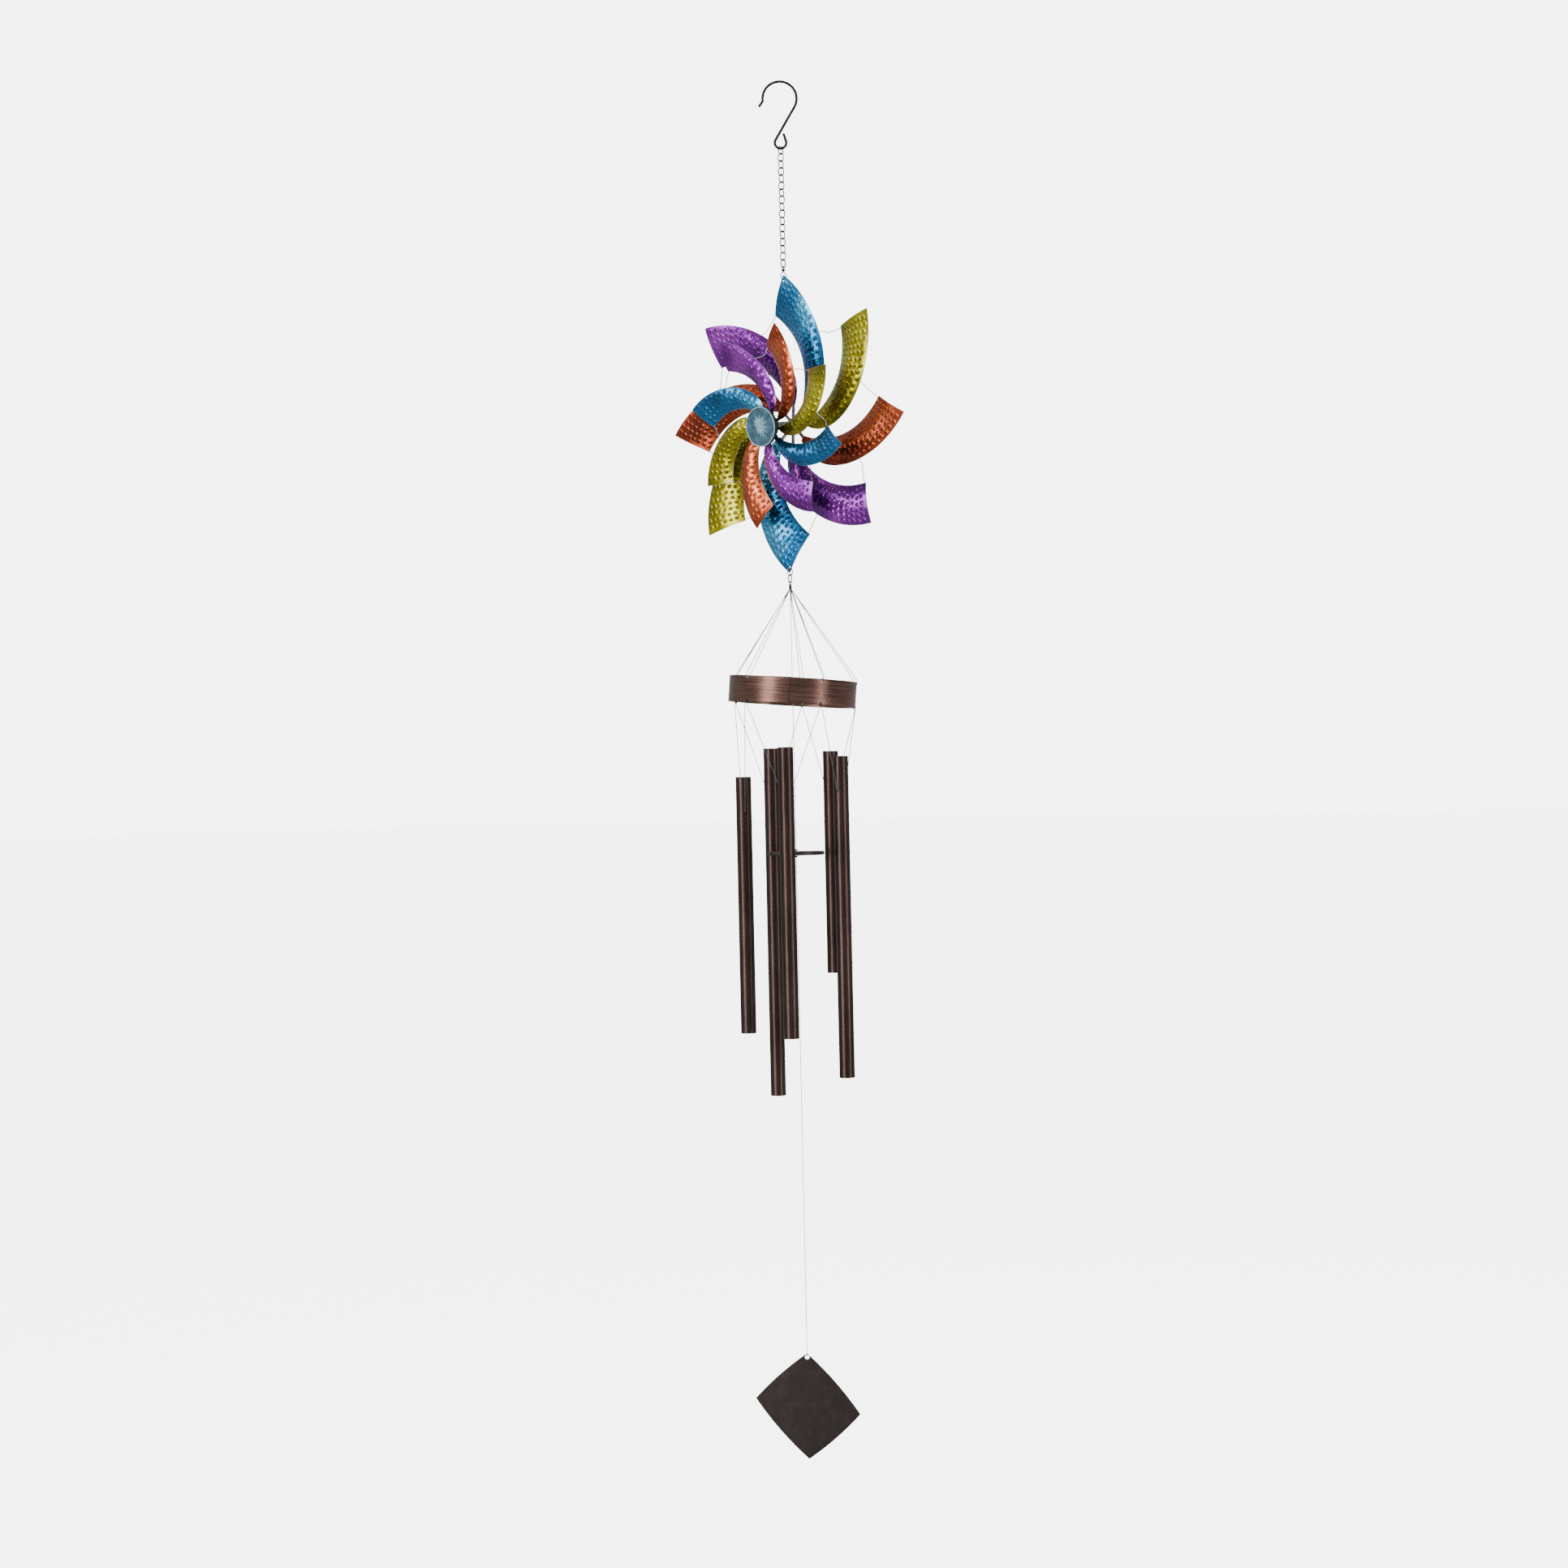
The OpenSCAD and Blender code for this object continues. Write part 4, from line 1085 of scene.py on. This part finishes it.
class WIND_OT_sail(bpy.types.Operator):
    """Cut the sail and hang it by its corner"""

    bl_idname = "wind.sail"
    bl_label = "Sail"

    def execute(self, context):
        w, h, hole_in, hole_d, bulge, thick, steps = 55.8, 66.7, 3.3, 3.7, 0.03, 1.0, 16
        lean = atan2(w, h)
        corner = Vector((0, hole_in))
        right = corner + h * Vector((sin(lean), -cos(lean)))
        left = corner + w * Vector((-cos(lean), -sin(lean)))
        bottom = right + left - corner
        hole_z = joint_at("sail_rock").z / MM - (hole_d / 2 - LINE_D / 2 - 0.1)
        bm = bmesh.new()
        outline = []
        for a, b in ((corner, left), (left, bottom), (bottom, right), (right, corner)):
            d = b - a
            for k in range(steps):
                t = k / steps
                p = a + t * d + bulge * 4 * t * (1 - t) * Vector((d.y, -d.x))
                outline.append(bm.verts.new((p.x, p.y, -thick / 2)))
        sheet = bm.faces.new(outline)
        raised = bmesh.ops.extrude_face_region(bm, geom=[sheet])
        top = [g for g in raised["geom"] if isinstance(g, bmesh.types.BMVert)]
        bmesh.ops.translate(bm, vec=(0, 0, thick), verts=top)
        bmesh.ops.recalc_face_normals(bm, faces=bm.faces)
        rims = [e for e in bm.edges
                if e.calc_face_angle(0) > radians(50) and abs(e.verts[0].co.z - e.verts[1].co.z) < 0.1]
        bmesh.ops.bevel(bm, geom=rims, offset=0.22, segments=3, profile=0.5, affect="EDGES", material=-1,
                        clamp_overlap=True)
        place = (Matrix.Translation((0, 0, hole_z * MM)) @ Matrix.Rotation(radians(SAIL_TURN), 4, "Z")
                 @ Matrix.Rotation(pi / 2, 4, "X"))
        bmesh.ops.transform(bm, matrix=place @ Matrix.Scale(MM, 4), verts=bm.verts)
        obj = object_from(bm, "sail_cut", ["sail"])
        cutter = bmesh.new()
        peg(cutter, place @ Vector((0, 0, 0)), place.to_3x3() @ Vector((0, 0, 1)), hole_d * MM, 6 * MM, 48)
        cut_with(obj, cutter)
        declare(obj, "sail", "sail")
        return {"FINISHED"}


# ---- stage ----
# name, place, the point it faces, width and height in metres, and power in watts
LIGHTS = (
    ("key", (-0.25, -2.8, -0.3), (0, 0, -0.5), (0.8, 2.2), 52),
    ("side", (2.9, 0.15, -0.4), (0, 0, -0.5), (0.5, 2.2), 30),
    ("left", (-1.6, -1.6, 0.9), (0, 0, -0.45), (0.6, 1.0), 12),
    ("glint", (0.9, -2.7, 0.9), (0, 0, -0.3), (0.16, 0.16), 9),
    ("back", (-0.8, 2.6, 0.8), (0, 0, -0.45), (1.2, 1.2), 20),
    ("top", (0.2, -0.4, 1.9), (0, 0, -0.45), (1.2, 1.2), 14),
)
# metres: the width that the camera sees at the sculpture, and the middle of its view, to the right and up
VIEW_WIDTH, VIEW_RIGHT, VIEW_UP = 1.288, -0.0087, -0.5758
SENSOR = 36


def softbox(name, at, aim, size, power):
    """A soft rectangular light."""
    data = bpy.data.lights.new(name, "AREA")
    data.shape, data.size, data.size_y = "RECTANGLE", size[0], size[1]
    data.energy = power
    obj = bpy.data.objects.new(name, data)
    obj.location = at
    obj.rotation_euler = (Vector(aim) - Vector(at)).to_track_quat("-Z", "Y").to_euler()
    bpy.context.scene.collection.objects.link(obj)


class WIND_OT_stage(bpy.types.Operator):
    """Lay the pale floor and set up the soft studio light and the camera"""

    bl_idname = "wind.stage"
    bl_label = "Stage"

    def execute(self, context):
        settings = context.scene.wind_stage
        floor_z = CAD_BOX[0].z - 0.25
        bm = bmesh.new()
        bmesh.ops.create_grid(bm, x_segments=2, y_segments=2, size=60)
        bmesh.ops.translate(bm, vec=(0, 0, floor_z), verts=bm.verts)
        mesh = bpy.data.meshes.new("floor")
        bm.to_mesh(mesh)
        bm.free()
        mesh.materials.append(material_for("floor"))
        floor = bpy.data.objects.new("floor", mesh)
        context.scene.collection.objects.link(floor)
        floor.visible_glossy = floor.visible_diffuse = False
        world = bpy.data.worlds.new("studio")
        context.scene.world = world
        world.use_nodes = True
        tree = world.node_tree
        tree.nodes.clear()
        sight = add_node(tree, "ShaderNodeLightPath").outputs["Is Camera Ray"]
        room = add_node(tree, "ShaderNodeBackground", values={"Color": (0.8, 0.82, 0.85, 1), "Strength": 0.6})
        paper = add_node(tree, "ShaderNodeBackground", values={"Color": (1, 1, 1, 1), "Strength": 6.0})
        both = add_node(tree, "ShaderNodeMixShader",
                        links={0: sight, 1: room.outputs[0], 2: paper.outputs[0]})
        add_node(tree, "ShaderNodeOutputWorld", links={"Surface": both.outputs[0]})
        for light in LIGHTS:
            softbox(*light)
        azimuth, roll = settings.azimuth, settings.roll
        right = Vector((cos(azimuth), sin(azimuth), 0))
        out = Vector((sin(azimuth), -cos(azimuth), 0))
        up = Vector((0, 0, 1))
        data = bpy.data.cameras.new("camera")
        data.sensor_width = SENSOR
        data.lens = SENSOR * settings.distance / VIEW_WIDTH
        data.clip_end = 200
        camera = bpy.data.objects.new("camera", data)
        cam_up = up * cos(roll) + right * sin(roll)
        cam_right = right * cos(roll) - up * sin(roll)
        turn = Matrix((cam_right, cam_up, out)).transposed()
        at = out * settings.distance + right * VIEW_RIGHT + up * VIEW_UP
        camera.matrix_world = Matrix.Translation(at) @ turn.to_4x4()
        context.scene.collection.objects.link(camera)
        context.scene.camera = camera
        return {"FINISHED"}


STEPS = ("stage", "hanger_lines", "striker", "tubes", "band", "whipping", "sail", "ironwork", "medallion", "ties",
         "back_blades", "front_blades")


class WIND_PT_panel(bpy.types.Panel):
    """Lists the sculpture's pieces"""

    bl_idname = "WIND_PT_panel"
    bl_label = "Wind Sculpture"
    bl_space_type = "VIEW_3D"
    bl_region_type = "UI"
    bl_category = "Wind Sculpture"

    def draw(self, context):
        for step in STEPS:
            self.layout.operator(f"wind.{step}")
        for group in GROUPS:
            settings = getattr(context.scene, group)
            for name in settings.__annotations__:
                self.layout.prop(settings, name)


GROUPS = {
    "wind_foil": WindFoilSettings,
    "wind_wire": WindWireSettings,
    "wind_chime": WindChimeSettings,
    "wind_medal": WindMedalSettings,
    "wind_stage": WindStageSettings,
}
CLASSES = (
    *GROUPS.values(), WIND_OT_stage, WIND_OT_hanger_lines, WIND_OT_striker, WIND_OT_tubes, WIND_OT_band,
    WIND_OT_whipping, WIND_OT_sail, WIND_OT_ironwork, WIND_OT_medallion, WIND_OT_ties, WIND_OT_back_blades,
    WIND_OT_front_blades, WIND_PT_panel,
)


def register():
    for item in CLASSES:
        bpy.utils.register_class(item)
    for name, group in GROUPS.items():
        setattr(bpy.types.Scene, name, bpy.props.PointerProperty(type=group))


def unregister():
    for name in GROUPS:
        delattr(bpy.types.Scene, name)
    for item in reversed(CLASSES):
        bpy.utils.unregister_class(item)


def main():
    register()
    for step in STEPS:
        getattr(bpy.ops.wind, step)()


if __name__ == "__main__":
    main()
